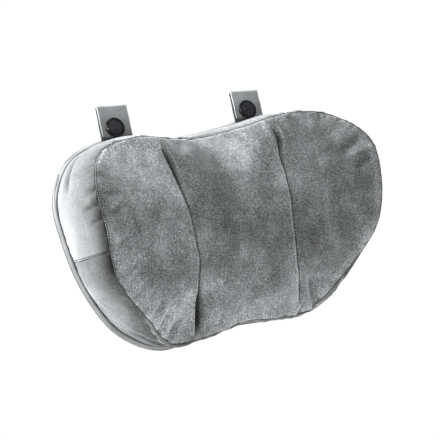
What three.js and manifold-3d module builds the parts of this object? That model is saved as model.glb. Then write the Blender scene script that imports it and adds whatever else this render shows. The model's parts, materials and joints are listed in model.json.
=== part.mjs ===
// Lumbar support cushion: a bow-tie shaped foam pad in a velvet cover with a flat padded back,
// a zip across the back, and two folded strap loops that close with press studs.
//
// Millimetres, +Z up. The flat back lies in the plane y = 0 and faces +Y; the velvet front
// faces -Y; +X is to the right when the front is looked at. The origin is in the middle of
// the back face.

import * as THREE from 'three';
import { mergeVertices } from 'three/addons/utils/BufferGeometryUtils.js';
import Module from 'manifold-3d';

// ---------------------------------------------------------------- driving dimensions

// Half outlines from the top of the centre line, round one lobe, to the bottom of the centre
// line. Both are mirrored in x. A point of one list faces the same point of the other.
const BACK_OUTLINE = [ // x, z of the back panel's edge
  [0, 76], [30, 78], [73, 82], [103, 71], [120.5, 44], [121.5, 15],
  [114, -27], [96, -62], [65, -81], [27, -77], [0, -74],
];
const FRONT_SEAM = [ // x, depth in front of the back face, z of the front panel's seam
  [0, 24, 69], [28, 38, 69.5], [66, 51, 73], [97, 56, 66.5], [117, 76, 40], [118, 78, 10],
  [113, 65, -27], [88, 43, -57.5], [61, 19, -79], [27, 26, -79.5], [0, 24, -76],
];
const CENTRE_DEPTH = 60; // front panel in front of the back face, on the centre line
const CENTRE_Z = 6; // height of the front panel's middle
const BOXING_CROWN = 2; // how far the boxing swells between its two seams
// Fuller round the ends of the lobes: fades in over |x|, and in z above their lower corners.
const SIDE_CROWN = { height: 7, fromX: 92, toX: 116, fromZ: -50, toZ: -15 };

const BACK_THICKNESS = 6; // padded back panel
const RIM_INSET = 2.5; // the boxing is sewn on inside the back panel's rounded edge
const COVER_THICKNESS = 1.5; // velvet with its backing
const LINER_THICKNESS = 0.6; // inner cover
const GAP = 0.35; // clearance between neighbouring solids
const CROSS_SEAM_AT = 0.273; // where the two boxing strips meet, as a part of the outline

const ZIP_Z = -38; // height of the zip on the back
const ZIP_WINDOW = { halfLength: 88, halfHeight: 8 };
const ZIP_TAPE_THICKNESS = 0.8;
const ZIP_TAPE_DEPTH = 4.8; // middle of the tape behind the back face
const ZIP_COIL = { width: 2.4, thickness: 2, from: -83, to: 84 };
const ZIP_SLIDER_X = 79;
const ZIP_SLIDER_LENGTH = 8.5;
const ZIP_PULL_LENGTH = 16;

const STRAP_SPACING = 119; // centre to centre
const STRAP_WIDTH = 25;
const STRAP_THICKNESS = 1.2;
const STRAP_LOOP_GAP = 2.8; // between the two legs
const STRAP_TOP = 25.3; // fold above the seam hinge
const STRAP_TAIL = 8; // sewn-in end
const STRAP_TILT = THREE.MathUtils.degToRad(-5); // the loops lean back a little
const STRAP_HINGE_Z = 81;
const STRAP_FRONT_END = 0.2; // lower end of the front leg, above the seam hinge

const SNAP_HEIGHT = 7.1; // press stud's middle above the seam hinge
const SNAP_CAP_RADIUS = 7.5;
const SNAP_BARREL_RADIUS = 1.5;

const ROUND_STEPS = 56; // stations round the cushion
const BOXING_STEPS = 3;
const PANEL_STEPS = 6;

// ---------------------------------------------------------------- materials

const material = (color, roughness, metalness = 0) =>
  new THREE.MeshStandardMaterial({ color, roughness, metalness });
const VELVET = material(0x7d8082, 0.9);
const BACKING = material(0x97979c, 0.75);
const LINER = material(0xe4e2dc, 0.9);
const FOAM = material(0xe9dfb8, 0.95);
const TAPE = material(0x6f7074, 0.85);
const COIL = material(0x5c5d61, 0.5);
const ZINC = material(0x8b8c90, 0.35, 1);
const BLACK_ENAMEL = material(0x0b0b0c, 0.15, 0.3);
const NICKEL = material(0xb9b9b6, 0.3, 1);

// ---------------------------------------------------------------- solids and booleans

const wasm = await Module();
wasm.setup();

function toSolid(geometry) {
  const bare = geometry.clone();
  bare.deleteAttribute('normal');
  bare.deleteAttribute('uv');
  const merged = mergeVertices(bare, 1e-4);
  return new wasm.Manifold(new wasm.Mesh({
    numProp: 3,
    vertProperties: new Float32Array(merged.attributes.position.array),
    triVerts: new Uint32Array(merged.index.array),
  }));
}

function toGeometry(solid) {
  const mesh = solid.getMesh();
  const geometry = new THREE.BufferGeometry();
  geometry.setAttribute('position', new THREE.BufferAttribute(mesh.vertProperties, 3));
  geometry.setIndex(new THREE.BufferAttribute(mesh.triVerts, 1));
  geometry.computeVertexNormals();
  return geometry;
}

function subtract(geometry, ...cutters) {
  let solid = toSolid(geometry);
  for (const cutter of cutters) {
    solid = solid.subtract(toSolid(cutter));
  }
  return toGeometry(solid);
}

function join(first, ...others) {
  let solid = toSolid(first);
  for (const other of others) {
    solid = solid.add(toSolid(other));
  }
  return toGeometry(solid);
}

/** A box between two opposite corners. */
function boxBetween(low, high) {
  const size = high.map((value, axis) => value - low[axis]);
  const middle = high.map((value, axis) => (value + low[axis]) / 2);
  return new THREE.BoxGeometry(...size).translate(...middle);
}

/** A closed mesh from a list of Vector3 and triangles, turned to face outwards. */
function closedMesh(points, triangles) {
  let volume = 0;
  const cross = new THREE.Vector3();
  for (const [a, b, c] of triangles) {
    volume += points[a].dot(cross.crossVectors(points[b], points[c]));
  }
  const facing = volume < 0 ? triangles.map(([a, b, c]) => [a, c, b]) : triangles;
  const geometry = new THREE.BufferGeometry();
  geometry.setAttribute(
    'position',
    new THREE.Float32BufferAttribute(points.flatMap((point) => point.toArray()), 3),
  );
  geometry.setIndex(facing.flat());
  return geometry;
}

// ---------------------------------------------------------------- the cushion's skin

function closedCurve(half) {
  const mirrored = half.slice(1, -1).reverse().map((point) => {
    const other = point.clone();
    other.x = -other.x;
    return other;
  });
  return new THREE.CatmullRomCurve3([...half, ...mirrored], true, 'centripetal');
}

const backCurve = closedCurve(BACK_OUTLINE.map(([x, z]) => new THREE.Vector3(x, 0, z)));
const seamCurve = closedCurve(
  FRONT_SEAM.map(([x, depth, z]) => new THREE.Vector3(x, -depth, z)),
);
const wrap = (u) => ((u % 1) + 1) % 1;

/** Outward direction of the back outline in its own plane. */
function outlineNormal(u) {
  const step = 0.004;
  const tangent = backCurve.getPoint(wrap(u + step)).sub(backCurve.getPoint(wrap(u - step)));
  return new THREE.Vector3(-tangent.z, 0, tangent.x).normalize();
}

/** Back outline moved inwards by inset, at depth y. */
function backEdge(u, inset, y) {
  const point = backCurve.getPoint(wrap(u)).addScaledVector(outlineNormal(u), -inset);
  point.y = y;
  return point;
}

/** Outer skin: w runs 0 to 1 over the boxing and 1 to 2 from the seam to the panel's middle. */
function skinPoint(w, u) {
  const seam = seamCurve.getPoint(wrap(u));
  if (w <= 1) {
    const back = backEdge(u, RIM_INSET, -BACK_THICKNESS - GAP);
    const side = THREE.MathUtils.smoothstep(Math.abs(back.x), SIDE_CROWN.fromX, SIDE_CROWN.toX)
      * THREE.MathUtils.smoothstep(back.z, SIDE_CROWN.fromZ, SIDE_CROWN.toZ);
    const crown = THREE.MathUtils.lerp(BOXING_CROWN, SIDE_CROWN.height, side);
    return back.lerp(seam, w).addScaledVector(outlineNormal(u), crown * 4 * w * (1 - w));
  }
  const reach = 2 - w;
  const depth = CENTRE_DEPTH + (-seam.y - CENTRE_DEPTH) * reach * reach;
  return new THREE.Vector3(
    seam.x * reach,
    -depth,
    CENTRE_Z + (seam.z - CENTRE_Z) * reach,
  );
}

/** Outward normal of the skin, averaged over a short way so that it turns smoothly. */
function skinNormal(w, u) {
  if (w >= 2) {
    return new THREE.Vector3(0, -1, 0);
  }
  const step = 0.06;
  const along = skinPoint(Math.min(w + step, 2), u).sub(skinPoint(Math.max(w - step, 0), u));
  const round = skinPoint(w, u + 0.01).sub(skinPoint(w, u - 0.01));
  const normal = along.cross(round).normalize();
  const outwards = skinPoint(w, u).sub(new THREE.Vector3(0, -30, 0));
  if (normal.dot(outwards) < 0) {
    normal.negate();
  }
  if (w === 0) {
    normal.setY(0).normalize();
  }
  return normal;
}

/** A point at a distance under the outer skin; the back edge can be lifted off the back. */
function layerPoint(w, u, distance, edgeDepth) {
  const point = skinPoint(w, u).addScaledVector(skinNormal(w, u), -distance);
  if (w === 0 && edgeDepth !== undefined) {
    point.y = -edgeDepth;
  }
  return point;
}

const range = (from, to, steps) =>
  Array.from({ length: steps + 1 }, (_, i) => from + ((to - from) * i) / steps);
const ROUND = range(0, 1, ROUND_STEPS).slice(0, -1);

/** Adds the two triangles of a quad. */
function addQuad(triangles, a, b, c, d) {
  triangles.push([a, b, c], [a, c, d]);
}

/**
 * A shell between two depths under the skin, over rows ws and columns us. A closed shell
 * goes all the way round; a last row at w = 2 shrinks to the panel's middle.
 */
function shell({ ws, us, outer, inner, closed, edgeDepth }) {
  const points = [];
  const triangles = [];
  const columns = us.length;
  const pole = ws[ws.length - 1] === 2;
  const rows = pole ? ws.length - 1 : ws.length;
  const grid = (distance) => {
    const start = points.length;
    for (let row = 0; row < rows; row += 1) {
      for (const u of us) {
        points.push(layerPoint(ws[row], u, distance, edgeDepth));
      }
    }
    if (pole) {
      points.push(layerPoint(2, 0, distance));
    }
    return (row, column) => (row === rows ? start + rows * columns
      : start + row * columns + (column % columns));
  };
  const out = grid(outer);
  const back = grid(inner);
  const lastColumn = closed ? columns : columns - 1;
  for (let column = 0; column < lastColumn; column += 1) {
    for (let row = 0; row < rows - 1; row += 1) {
      addQuad(triangles, out(row, column), out(row + 1, column),
        out(row + 1, column + 1), out(row, column + 1));
      addQuad(triangles, back(row, column), back(row, column + 1),
        back(row + 1, column + 1), back(row + 1, column));
    }
    addQuad(triangles, out(0, column), out(0, column + 1), back(0, column + 1), back(0, column));
    const last = rows - 1;
    if (pole) {
      triangles.push([out(last, column), out(rows, 0), out(last, column + 1)]);
      triangles.push([back(last, column), back(last, column + 1), back(rows, 0)]);
    } else {
      addQuad(triangles, out(last, column), back(last, column),
        back(last, column + 1), out(last, column + 1));
    }
  }
  if (!closed) {
    const end = columns - 1;
    for (let row = 0; row < rows - 1; row += 1) {
      addQuad(triangles, out(row, 0), back(row, 0), back(row + 1, 0), out(row + 1, 0));
      addQuad(triangles, out(row, end), out(row + 1, end), back(row + 1, end), back(row, end));
    }
  }
  return closedMesh(points, triangles);
}

/** A solid of stacked rings, closed at both ends by a fan. */
function ringStack(rings) {
  const points = rings.flat();
  const triangles = [];
  const columns = rings[0].length;
  for (let row = 0; row < rings.length - 1; row += 1) {
    for (let column = 0; column < columns; column += 1) {
      const next = (column + 1) % columns;
      addQuad(triangles, row * columns + column, (row + 1) * columns + column,
        (row + 1) * columns + next, row * columns + next);
    }
  }
  for (const [row, turn] of [[0, 1], [rings.length - 1, -1]]) {
    const ring = rings[row];
    const middle = ring.reduce((sum, point) => sum.add(point), new THREE.Vector3());
    const centre = points.push(middle.divideScalar(columns)) - 1;
    for (let column = 0; column < columns; column += 1) {
      const here = row * columns + column;
      const next = row * columns + ((column + 1) % columns);
      triangles.push(turn > 0 ? [centre, here, next] : [centre, next, here]);
    }
  }
  return closedMesh(points, triangles);
}

const SEAM_SLACK = 0.008; // half the gap at a seam, as a part of a row
const boxingRows = [...range(0, 1, BOXING_STEPS).slice(0, -1), 1 - SEAM_SLACK];
const panelRows = [1 + SEAM_SLACK, ...range(1, 2, PANEL_STEPS).slice(1)];
const wholeRows = [...range(0, 1, BOXING_STEPS), ...range(1, 2, PANEL_STEPS).slice(1)];

const LINER_OUTER = COVER_THICKNESS + GAP;
const LINER_INNER = LINER_OUTER + LINER_THICKNESS;
const FOAM_SKIN = LINER_INNER + 2 * GAP;
const LINER_BACK = BACK_THICKNESS + GAP; // depth of the inner cover's back sheet
const FOAM_BACK = LINER_BACK + LINER_THICKNESS + GAP;

// ---------------------------------------------------------------- sewn-in strap tails

const STRAP_X = [-STRAP_SPACING / 2, STRAP_SPACING / 2];
const STRAP_Y = -(BACK_THICKNESS + GAP + STRAP_THICKNESS / 2); // middle of the rear leg
const TAIL_TOP = STRAP_HINGE_Z - STRAP_THICKNESS / 2 - GAP;

/** The tail of a strap, or the slot that it needs when grown by a clearance. */
function tailBox(x, clearance) {
  const half = STRAP_WIDTH / 2 + clearance;
  const thick = STRAP_THICKNESS / 2 + clearance;
  const top = clearance > 0 ? TAIL_TOP + STRAP_TAIL : TAIL_TOP;
  return boxBetween(
    [x - half, STRAP_Y - thick, TAIL_TOP - STRAP_TAIL - clearance],
    [x + half, STRAP_Y + thick, top],
  );
}
const tailSlots = STRAP_X.map((x) => tailBox(x, GAP));

// ---------------------------------------------------------------- cushion parts

function foamCore() {
  const rings = wholeRows.slice(0, -1).map((w) =>
    ROUND.map((u) => layerPoint(w, u, FOAM_SKIN, FOAM_BACK)));
  return subtract(ringStack(rings), ...tailSlots);
}

function innerCoverFront() {
  const skin = shell({
    ws: wholeRows, us: ROUND, outer: LINER_OUTER, inner: LINER_INNER, closed: true,
    edgeDepth: FOAM_BACK,
  });
  return subtract(skin, ...tailSlots);
}

function innerCoverBack() {
  const sheet = ringStack([LINER_BACK, LINER_BACK + LINER_THICKNESS].map((depth) =>
    ROUND.map((u) => layerPoint(0, u, LINER_OUTER, depth))));
  return subtract(sheet, ...tailSlots);
}

function frontPanel() {
  return shell({ ws: panelRows, us: ROUND, outer: 0, inner: COVER_THICKNESS, closed: true });
}

function boxing(from, to) {
  const seamGap = 0.0004;
  const stations = range(-1, 1, 2 * ROUND_STEPS).filter((u) => u > from && u < to);
  const us = [from + seamGap, ...stations, to - seamGap];
  return shell({ ws: boxingRows, us, outer: 0, inner: COVER_THICKNESS, closed: false });
}

const RIM_FACE_INSET = 2.4; // where the back panel's rounded edge meets its faces
const RIM_ARRIS = { inset: 0.7, depth: 0.8 }; // a point between the face and the edge's middle
const BEYOND = 200; // past every edge of the cushion

const ZIP_WINDOW_BOX = boxBetween(
  [-ZIP_WINDOW.halfLength, -2 * BACK_THICKNESS, ZIP_Z - ZIP_WINDOW.halfHeight],
  [ZIP_WINDOW.halfLength, BACK_THICKNESS, ZIP_Z + ZIP_WINDOW.halfHeight],
);

/** One half of the padded back; side is 1 above the zip and -1 below it. */
function backPanel(side) {
  const halfRim = [[RIM_FACE_INSET, 0], [RIM_ARRIS.inset, RIM_ARRIS.depth], [0, BACK_THICKNESS / 2]];
  const otherHalfRim = halfRim.slice(0, -1).reverse().map(([inset, depth]) =>
    [inset, BACK_THICKNESS - depth]);
  const plate = ringStack([...halfRim, ...otherHalfRim].map(([inset, depth]) =>
    ROUND.map((u) => backEdge(u, inset, -depth))));
  const edge = ZIP_Z + (side * GAP) / 2;
  const otherHalf = side > 0
    ? boxBetween([-BEYOND, -BEYOND, -BEYOND], [BEYOND, BEYOND, edge])
    : boxBetween([-BEYOND, -BEYOND, edge], [BEYOND, BEYOND, BEYOND]);
  return subtract(plate, ZIP_WINDOW_BOX, otherHalf);
}

// ---------------------------------------------------------------- zip

const TAPE_FRONT = -ZIP_TAPE_DEPTH - ZIP_TAPE_THICKNESS / 2;
const TAPE_REAR = -ZIP_TAPE_DEPTH + ZIP_TAPE_THICKNESS / 2;
const COIL_REAR = -ZIP_TAPE_DEPTH + ZIP_COIL.thickness / 2;

function zipTape(side) {
  const near = ZIP_COIL.width / 2 + GAP;
  const far = ZIP_WINDOW.halfHeight - GAP;
  const edges = [ZIP_Z + side * near, ZIP_Z + side * far].sort((a, b) => a - b);
  const half = ZIP_WINDOW.halfLength - GAP;
  return boxBetween([-half, TAPE_FRONT, edges[0]], [half, TAPE_REAR, edges[1]]);
}

/** The closed coil, a flattened round bar. */
function zipCoil() {
  const shape = new THREE.Shape();
  shape.absellipse(0, 0, ZIP_COIL.width / 2, ZIP_COIL.thickness / 2, 0, 2 * Math.PI);
  const bar = new THREE.ExtrudeGeometry(shape, {
    depth: ZIP_COIL.to - ZIP_COIL.from, bevelEnabled: false, curveSegments: 6,
  });
  // The shape's x goes to z and its y stays, so the bar runs along x.
  bar.rotateY(Math.PI / 2);
  return bar.translate(ZIP_COIL.from, -ZIP_TAPE_DEPTH, ZIP_Z);
}

/** A metal block across both coils, centred at x. */
function zipStop(x) {
  const halfHeight = ZIP_COIL.width / 2;
  return boxBetween(
    [x - STOP_HALF_LENGTH, -ZIP_TAPE_DEPTH - ZIP_COIL.thickness / 2, ZIP_Z - halfHeight],
    [x + STOP_HALF_LENGTH, COIL_REAR, ZIP_Z + halfHeight],
  );
}

const STOP_HALF_LENGTH = 1;
const SLIDER = { wall: 2, plate: 0.8, channel: ZIP_COIL.width / 2 + GAP };
const SLIDER_UNDER = COIL_REAR + GAP; // plate's inner face
const SLIDER_TOP = SLIDER_UNDER + SLIDER.plate;
const BRIDGE = { window: 1.4, bar: 0.65, halfLength: 2, foot: 0.9, halfWidth: 0.7 };
const PULL = { bar: 0.7, arm: 1, halfWidth: 2.3 };
const PULL_AXIS_Y = SLIDER_TOP + BRIDGE.window / 2;

/** Slider: a channel over the coil with a bridge that holds the pull. */
function zipSlider() {
  const x0 = ZIP_SLIDER_X - ZIP_SLIDER_LENGTH / 2;
  const x1 = ZIP_SLIDER_X + ZIP_SLIDER_LENGTH / 2;
  const reach = SLIDER.channel + SLIDER.wall;
  const plate = boxBetween([x0, SLIDER_UNDER, ZIP_Z - reach], [x1, SLIDER_TOP, ZIP_Z + reach]);
  const walls = [-1, 1].map((side) => {
    const edges = [ZIP_Z + side * SLIDER.channel, ZIP_Z + side * reach].sort((a, b) => a - b);
    return boxBetween([x0, TAPE_REAR + GAP, edges[0]], [x1, SLIDER_TOP, edges[1]]);
  });
  const bridgeTop = SLIDER_TOP + BRIDGE.window + BRIDGE.bar;
  const bar = boxBetween(
    [ZIP_SLIDER_X - BRIDGE.halfLength, SLIDER_TOP + BRIDGE.window, ZIP_Z - BRIDGE.halfWidth],
    [ZIP_SLIDER_X + BRIDGE.halfLength, bridgeTop, ZIP_Z + BRIDGE.halfWidth],
  );
  const feet = [-1, 1].map((side) => {
    const outer = ZIP_SLIDER_X + side * BRIDGE.halfLength;
    const inner = outer - side * BRIDGE.foot;
    return boxBetween(
      [Math.min(inner, outer), SLIDER_TOP - SLIDER.plate / 2, ZIP_Z - BRIDGE.halfWidth],
      [Math.max(inner, outer), bridgeTop, ZIP_Z + BRIDGE.halfWidth],
    );
  });
  return join(plate, ...walls, bar, ...feet);
}

/** Pull: a bar through the bridge, two arms and a tab that lies along the closed coil. */
function zipPull() {
  const half = PULL.bar / 2;
  const bar = boxBetween(
    [ZIP_SLIDER_X - half, PULL_AXIS_Y - half, ZIP_Z - PULL.halfWidth],
    [ZIP_SLIDER_X + half, PULL_AXIS_Y + half, ZIP_Z + PULL.halfWidth],
  );
  const window = BRIDGE.halfLength + 1;
  const arms = [-1, 1].map((side) => {
    const edges = [ZIP_Z + side * PULL.halfWidth, ZIP_Z + side * (PULL.halfWidth - PULL.arm)];
    edges.sort((a, b) => a - b);
    return boxBetween(
      [ZIP_SLIDER_X - window - half, PULL_AXIS_Y - half, edges[0]],
      [ZIP_SLIDER_X + half, PULL_AXIS_Y + half, edges[1]],
    );
  });
  const tab = boxBetween(
    [ZIP_SLIDER_X - ZIP_PULL_LENGTH, PULL_AXIS_Y - half, ZIP_Z - PULL.halfWidth],
    [ZIP_SLIDER_X - window, PULL_AXIS_Y + half, ZIP_Z + PULL.halfWidth],
  );
  return join(bar, ...arms, tab);
}

// ---------------------------------------------------------------- straps

const LEG_PITCH = STRAP_THICKNESS + STRAP_LOOP_GAP; // middle to middle of the two legs
const FOLD_RADIUS = LEG_PITCH / 2;
const FOLD_Z = STRAP_TOP - FOLD_RADIUS - STRAP_THICKNESS / 2;
const FOLD_END = THREE.MathUtils.degToRad(120); // the fold stops short of the front leg
const HALF_THICK = STRAP_THICKNESS / 2;

/** Extrudes a side-view shape, drawn as y and z, across the strap's width. */
function acrossStrap(shape) {
  const band = new THREE.ExtrudeGeometry(shape, {
    depth: STRAP_WIDTH, bevelEnabled: false, curveSegments: 8,
  });
  // Shape x becomes y, shape y becomes z and the depth becomes x.
  band.applyMatrix4(new THREE.Matrix4().makeBasis(
    new THREE.Vector3(0, 1, 0), new THREE.Vector3(0, 0, 1), new THREE.Vector3(1, 0, 0),
  ));
  return band.translate(-STRAP_WIDTH / 2, 0, 0);
}

/** A cylinder along y that makes the hole for a press stud's barrel. */
function barrelHole(y) {
  const hole = new THREE.CylinderGeometry(
    SNAP_BARREL_RADIUS + GAP, SNAP_BARREL_RADIUS + GAP, 3 * STRAP_THICKNESS, 16,
  );
  return hole.translate(0, y, SNAP_HEIGHT);
}

/** Rear leg with a rounded end at the seam hinge, and the fold at the top. */
function strapRear() {
  const shape = new THREE.Shape();
  shape.absarc(0, 0, HALF_THICK, Math.PI, 2 * Math.PI, false);
  shape.lineTo(HALF_THICK, FOLD_Z);
  shape.absarc(-FOLD_RADIUS, FOLD_Z, FOLD_RADIUS + HALF_THICK, 0, FOLD_END, false);
  shape.absarc(-FOLD_RADIUS, FOLD_Z, FOLD_RADIUS - HALF_THICK, FOLD_END, 0, true);
  shape.closePath();
  return subtract(acrossStrap(shape), barrelHole(0));
}

/** Front leg with a rounded end where it hinges on the fold. */
function strapFront() {
  const shape = new THREE.Shape();
  shape.absarc(-LEG_PITCH, FOLD_Z, HALF_THICK, 0, Math.PI, false);
  shape.lineTo(-LEG_PITCH - HALF_THICK, STRAP_FRONT_END);
  shape.lineTo(-LEG_PITCH + HALF_THICK, STRAP_FRONT_END);
  shape.closePath();
  return subtract(acrossStrap(shape), barrelHole(-LEG_PITCH));
}

/** Turns a radius and y profile about the press stud's axis. */
function turned(profile) {
  const points = profile.map(([radius, y]) => new THREE.Vector2(radius, y));
  const lathe = new THREE.LatheGeometry(points, 20);
  return lathe.translate(0, 0, SNAP_HEIGHT);
}

const STUD_FRONT = -HALF_THICK - GAP; // stud's flange rests here on the rear leg
const LEG_INNER = -LEG_PITCH + HALF_THICK;
const LEG_OUTER = -LEG_PITCH - HALF_THICK;
const SEAT = 0.3; // a press stud's flanges stand this far off the strap

const CAP = { bevel: 0.3, flange: 0.8, crown: 1.6 };
const SOCKET = { radius: 5.5, bevel: 0.3, mouth: 2.9, floor: 0.3, depth: 1.5 };
const STUD = { flange: 4.8, thickness: 0.35, neck: 2, head: 2.2, tip: 1.8, height: 1.5 };
const POST = { flange: 4.8, thickness: 0.4, crown: 0.6, setBack: 0.1 };

/** Domed cap with its barrel, in front of the front leg. */
function snapCap() {
  const base = LEG_OUTER - SEAT;
  const domeRadius = SNAP_CAP_RADIUS - CAP.bevel;
  const dome = range(0, Math.PI / 2, 4).map((angle) => [
    domeRadius * Math.cos(angle), base - CAP.flange - CAP.crown * Math.sin(angle),
  ]);
  return turned([
    [0, LEG_INNER], [SNAP_BARREL_RADIUS, LEG_INNER], [SNAP_BARREL_RADIUS, base],
    [domeRadius, base], [SNAP_CAP_RADIUS, base - CAP.flange / 2], ...dome.slice(0, -1),
    [0, base - CAP.flange - CAP.crown],
  ].reverse());
}

/** Socket on the inner side of the front leg, open towards the stud. */
function snapSocket() {
  const back = LEG_INNER + SEAT;
  const lip = SOCKET.radius - SOCKET.bevel;
  return turned([
    [0, back], [lip, back], [SOCKET.radius, back + SOCKET.bevel], [lip, back + SOCKET.depth],
    [SOCKET.mouth, back + SOCKET.depth], [SOCKET.mouth, back + SOCKET.floor],
    [0, back + SOCKET.floor],
  ]);
}

/** Stud on the rear leg, with the nub that the socket grips. */
function snapStud() {
  const face = STUD_FRONT - STUD.thickness;
  const tip = STUD_FRONT - STUD.height;
  return turned([
    [0, STUD_FRONT], [STUD.flange, STUD_FRONT], [STUD.flange, face], [STUD.neck, face],
    [STUD.head, (face + 2 * tip) / 3], [STUD.tip, tip], [0, tip],
  ].reverse());
}

/** Rivet behind the rear leg, whose barrel goes through it. */
function snapPost() {
  const front = -HALF_THICK + POST.setBack;
  const base = HALF_THICK + SEAT;
  return turned([
    [0, front], [SNAP_BARREL_RADIUS, front], [SNAP_BARREL_RADIUS, base], [POST.flange, base],
    [POST.flange, base + POST.thickness], [0, base + POST.crown],
  ]);
}

// ---------------------------------------------------------------- assembly

const cushion = new THREE.Group();

function add(parent, name, geometry, meshMaterial) {
  const mesh = new THREE.Mesh(geometry, meshMaterial);
  mesh.name = name;
  parent.add(mesh);
}

add(cushion, 'foam_core', foamCore(), FOAM);
add(cushion, 'inner_cover_front', innerCoverFront(), LINER);
add(cushion, 'inner_cover_back', innerCoverBack(), LINER);
add(cushion, 'front_panel', frontPanel(), VELVET);
add(cushion, 'boxing_upper', subtract(boxing(-CROSS_SEAM_AT, CROSS_SEAM_AT), ...tailSlots), VELVET);
add(cushion, 'boxing_lower', boxing(CROSS_SEAM_AT, 1 - CROSS_SEAM_AT), VELVET);
add(cushion, 'back_panel_upper', backPanel(1), BACKING);
add(cushion, 'back_panel_lower', backPanel(-1), BACKING);

add(cushion, 'zip_tape_upper', zipTape(1), TAPE);
add(cushion, 'zip_tape_lower', zipTape(-1), TAPE);
add(cushion, 'zip_coil', zipCoil(), COIL);
add(cushion, 'zip_top_stop', zipStop(ZIP_COIL.to + GAP + STOP_HALF_LENGTH), ZINC);
add(cushion, 'zip_bottom_stop', zipStop(ZIP_COIL.from - GAP - STOP_HALF_LENGTH), ZINC);
add(cushion, 'zip_slider', zipSlider(), ZINC);
add(cushion, 'zip_pull', zipPull(), ZINC);

['left', 'right'].forEach((side, index) => {
  add(cushion, `${side}_strap_tail`, tailBox(STRAP_X[index], 0), BACKING);
  const strap = new THREE.Group();
  strap.position.set(STRAP_X[index], STRAP_Y, STRAP_HINGE_Z);
  strap.rotation.x = STRAP_TILT;
  cushion.add(strap);
  add(strap, `${side}_strap_rear`, strapRear(), BACKING);
  add(strap, `${side}_strap_front`, strapFront(), BACKING);
  add(strap, `${side}_snap_cap`, snapCap(), BLACK_ENAMEL);
  add(strap, `${side}_snap_socket`, snapSocket(), NICKEL);
  add(strap, `${side}_snap_stud`, snapStud(), NICKEL);
  add(strap, `${side}_snap_post`, snapPost(), NICKEL);
});

export default cushion;
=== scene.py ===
"""Looks of the lumbar support cushion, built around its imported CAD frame.

Lengths are in millimetres until a mesh is made, in the CAD's own frame: +X to the right when
the velvet front is looked at, +Y out of the flat back, +Z up.
"""

import json
import math

import bpy
import numpy as np
from mathutils import Matrix, Vector
from mathutils.kdtree import KDTree


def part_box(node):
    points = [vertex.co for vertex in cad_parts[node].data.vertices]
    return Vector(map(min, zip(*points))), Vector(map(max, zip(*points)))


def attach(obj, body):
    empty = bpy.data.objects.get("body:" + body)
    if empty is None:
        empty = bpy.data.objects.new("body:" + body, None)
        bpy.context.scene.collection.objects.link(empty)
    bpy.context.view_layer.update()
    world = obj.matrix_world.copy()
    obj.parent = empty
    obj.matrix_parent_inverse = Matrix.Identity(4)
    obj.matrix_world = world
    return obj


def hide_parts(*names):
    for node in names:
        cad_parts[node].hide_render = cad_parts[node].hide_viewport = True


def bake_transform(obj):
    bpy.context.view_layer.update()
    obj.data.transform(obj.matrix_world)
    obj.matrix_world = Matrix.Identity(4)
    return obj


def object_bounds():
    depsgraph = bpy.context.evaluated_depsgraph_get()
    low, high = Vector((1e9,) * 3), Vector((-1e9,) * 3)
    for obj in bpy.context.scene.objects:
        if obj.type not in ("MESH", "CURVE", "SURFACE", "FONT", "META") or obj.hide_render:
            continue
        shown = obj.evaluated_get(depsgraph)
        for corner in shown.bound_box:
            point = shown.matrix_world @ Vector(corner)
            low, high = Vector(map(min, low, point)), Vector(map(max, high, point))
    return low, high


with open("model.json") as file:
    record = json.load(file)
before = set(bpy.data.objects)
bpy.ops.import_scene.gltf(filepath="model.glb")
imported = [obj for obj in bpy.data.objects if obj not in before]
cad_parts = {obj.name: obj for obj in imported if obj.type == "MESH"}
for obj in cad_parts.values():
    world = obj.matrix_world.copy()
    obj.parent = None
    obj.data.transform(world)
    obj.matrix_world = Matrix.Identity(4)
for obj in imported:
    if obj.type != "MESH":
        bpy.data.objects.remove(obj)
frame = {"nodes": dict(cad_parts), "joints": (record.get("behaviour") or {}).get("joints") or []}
cad_box = [list(corner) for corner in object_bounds()]

MM = 0.001
JOINTS = {joint["name"]: joint for joint in frame["joints"]}

# ---------------------------------------------------------------- driving dimensions

BACK_OUTLINE = [  # x, z of the back panel's edge, half of it
    (0, 76), (30, 78), (73, 82), (103, 71), (120.5, 44), (121.5, 15),
    (114, -27), (96, -62), (65, -81), (27, -77), (0, -74),
]
FRONT_SEAM = [  # x, depth, z of the front panel's seam, half of it
    (0, 24, 69), (28, 38, 69.5), (66, 51, 73), (97, 56, 66.5), (117, 76, 40), (118, 78, 10),
    (113, 65, -27), (88, 43, -57.5), (61, 19, -79), (27, 26, -79.5), (0, 24, -76),
]
CENTRE_DEPTH = 60
CENTRE_Z = 6
BOXING_CROWN = 2  # how far the boxing swells along the top and bottom
SIDE_CROWN = 7  # and round the ends of the lobes
LOW_CROWN_LOSS = 1  # and how much less it swells at the lower right
RIGHT_LOBE_SHIFT = 2  # the right lobe's seam stands this much further out than the left one's
BACK_THICKNESS = 6
RIM_INSET = 2.5  # the boxing starts this far inside the back's edge
GAP = 0.35
CROSS_SEAM_AT = 0.273  # where the boxing's two strips meet, as a part of the outline
COVER = 1.2  # velvet with its backing

# Path of both darts: z, distance from the middle.
DART_PATH = [
    (66, 47.0), (60, 48.0), (52, 47.8), (42, 46.0), (30, 44.6), (10, 42.6), (-12, 42.2),
    (-34, 41.6), (-44, 42.4), (-54, 45.0), (-65, 46.0), (-78, 46.5),
]
DART_DRIFT = 2  # how far a dart's lower end drifts to +X
RIGHT_DART_OUT = 1.2  # the right dart lies this much further out
RIGHT_DART_TURN = 1.6  # and this much more where it turns, low down

# ---------------------------------------------------------------- camera

CAMERA = {"turn": 29.5, "rise": -4.9, "roll": 14.2, "distance": 980, "lens": 105.4}
CAMERA_TARGET = (-2.5, -30, 3.3)


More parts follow.
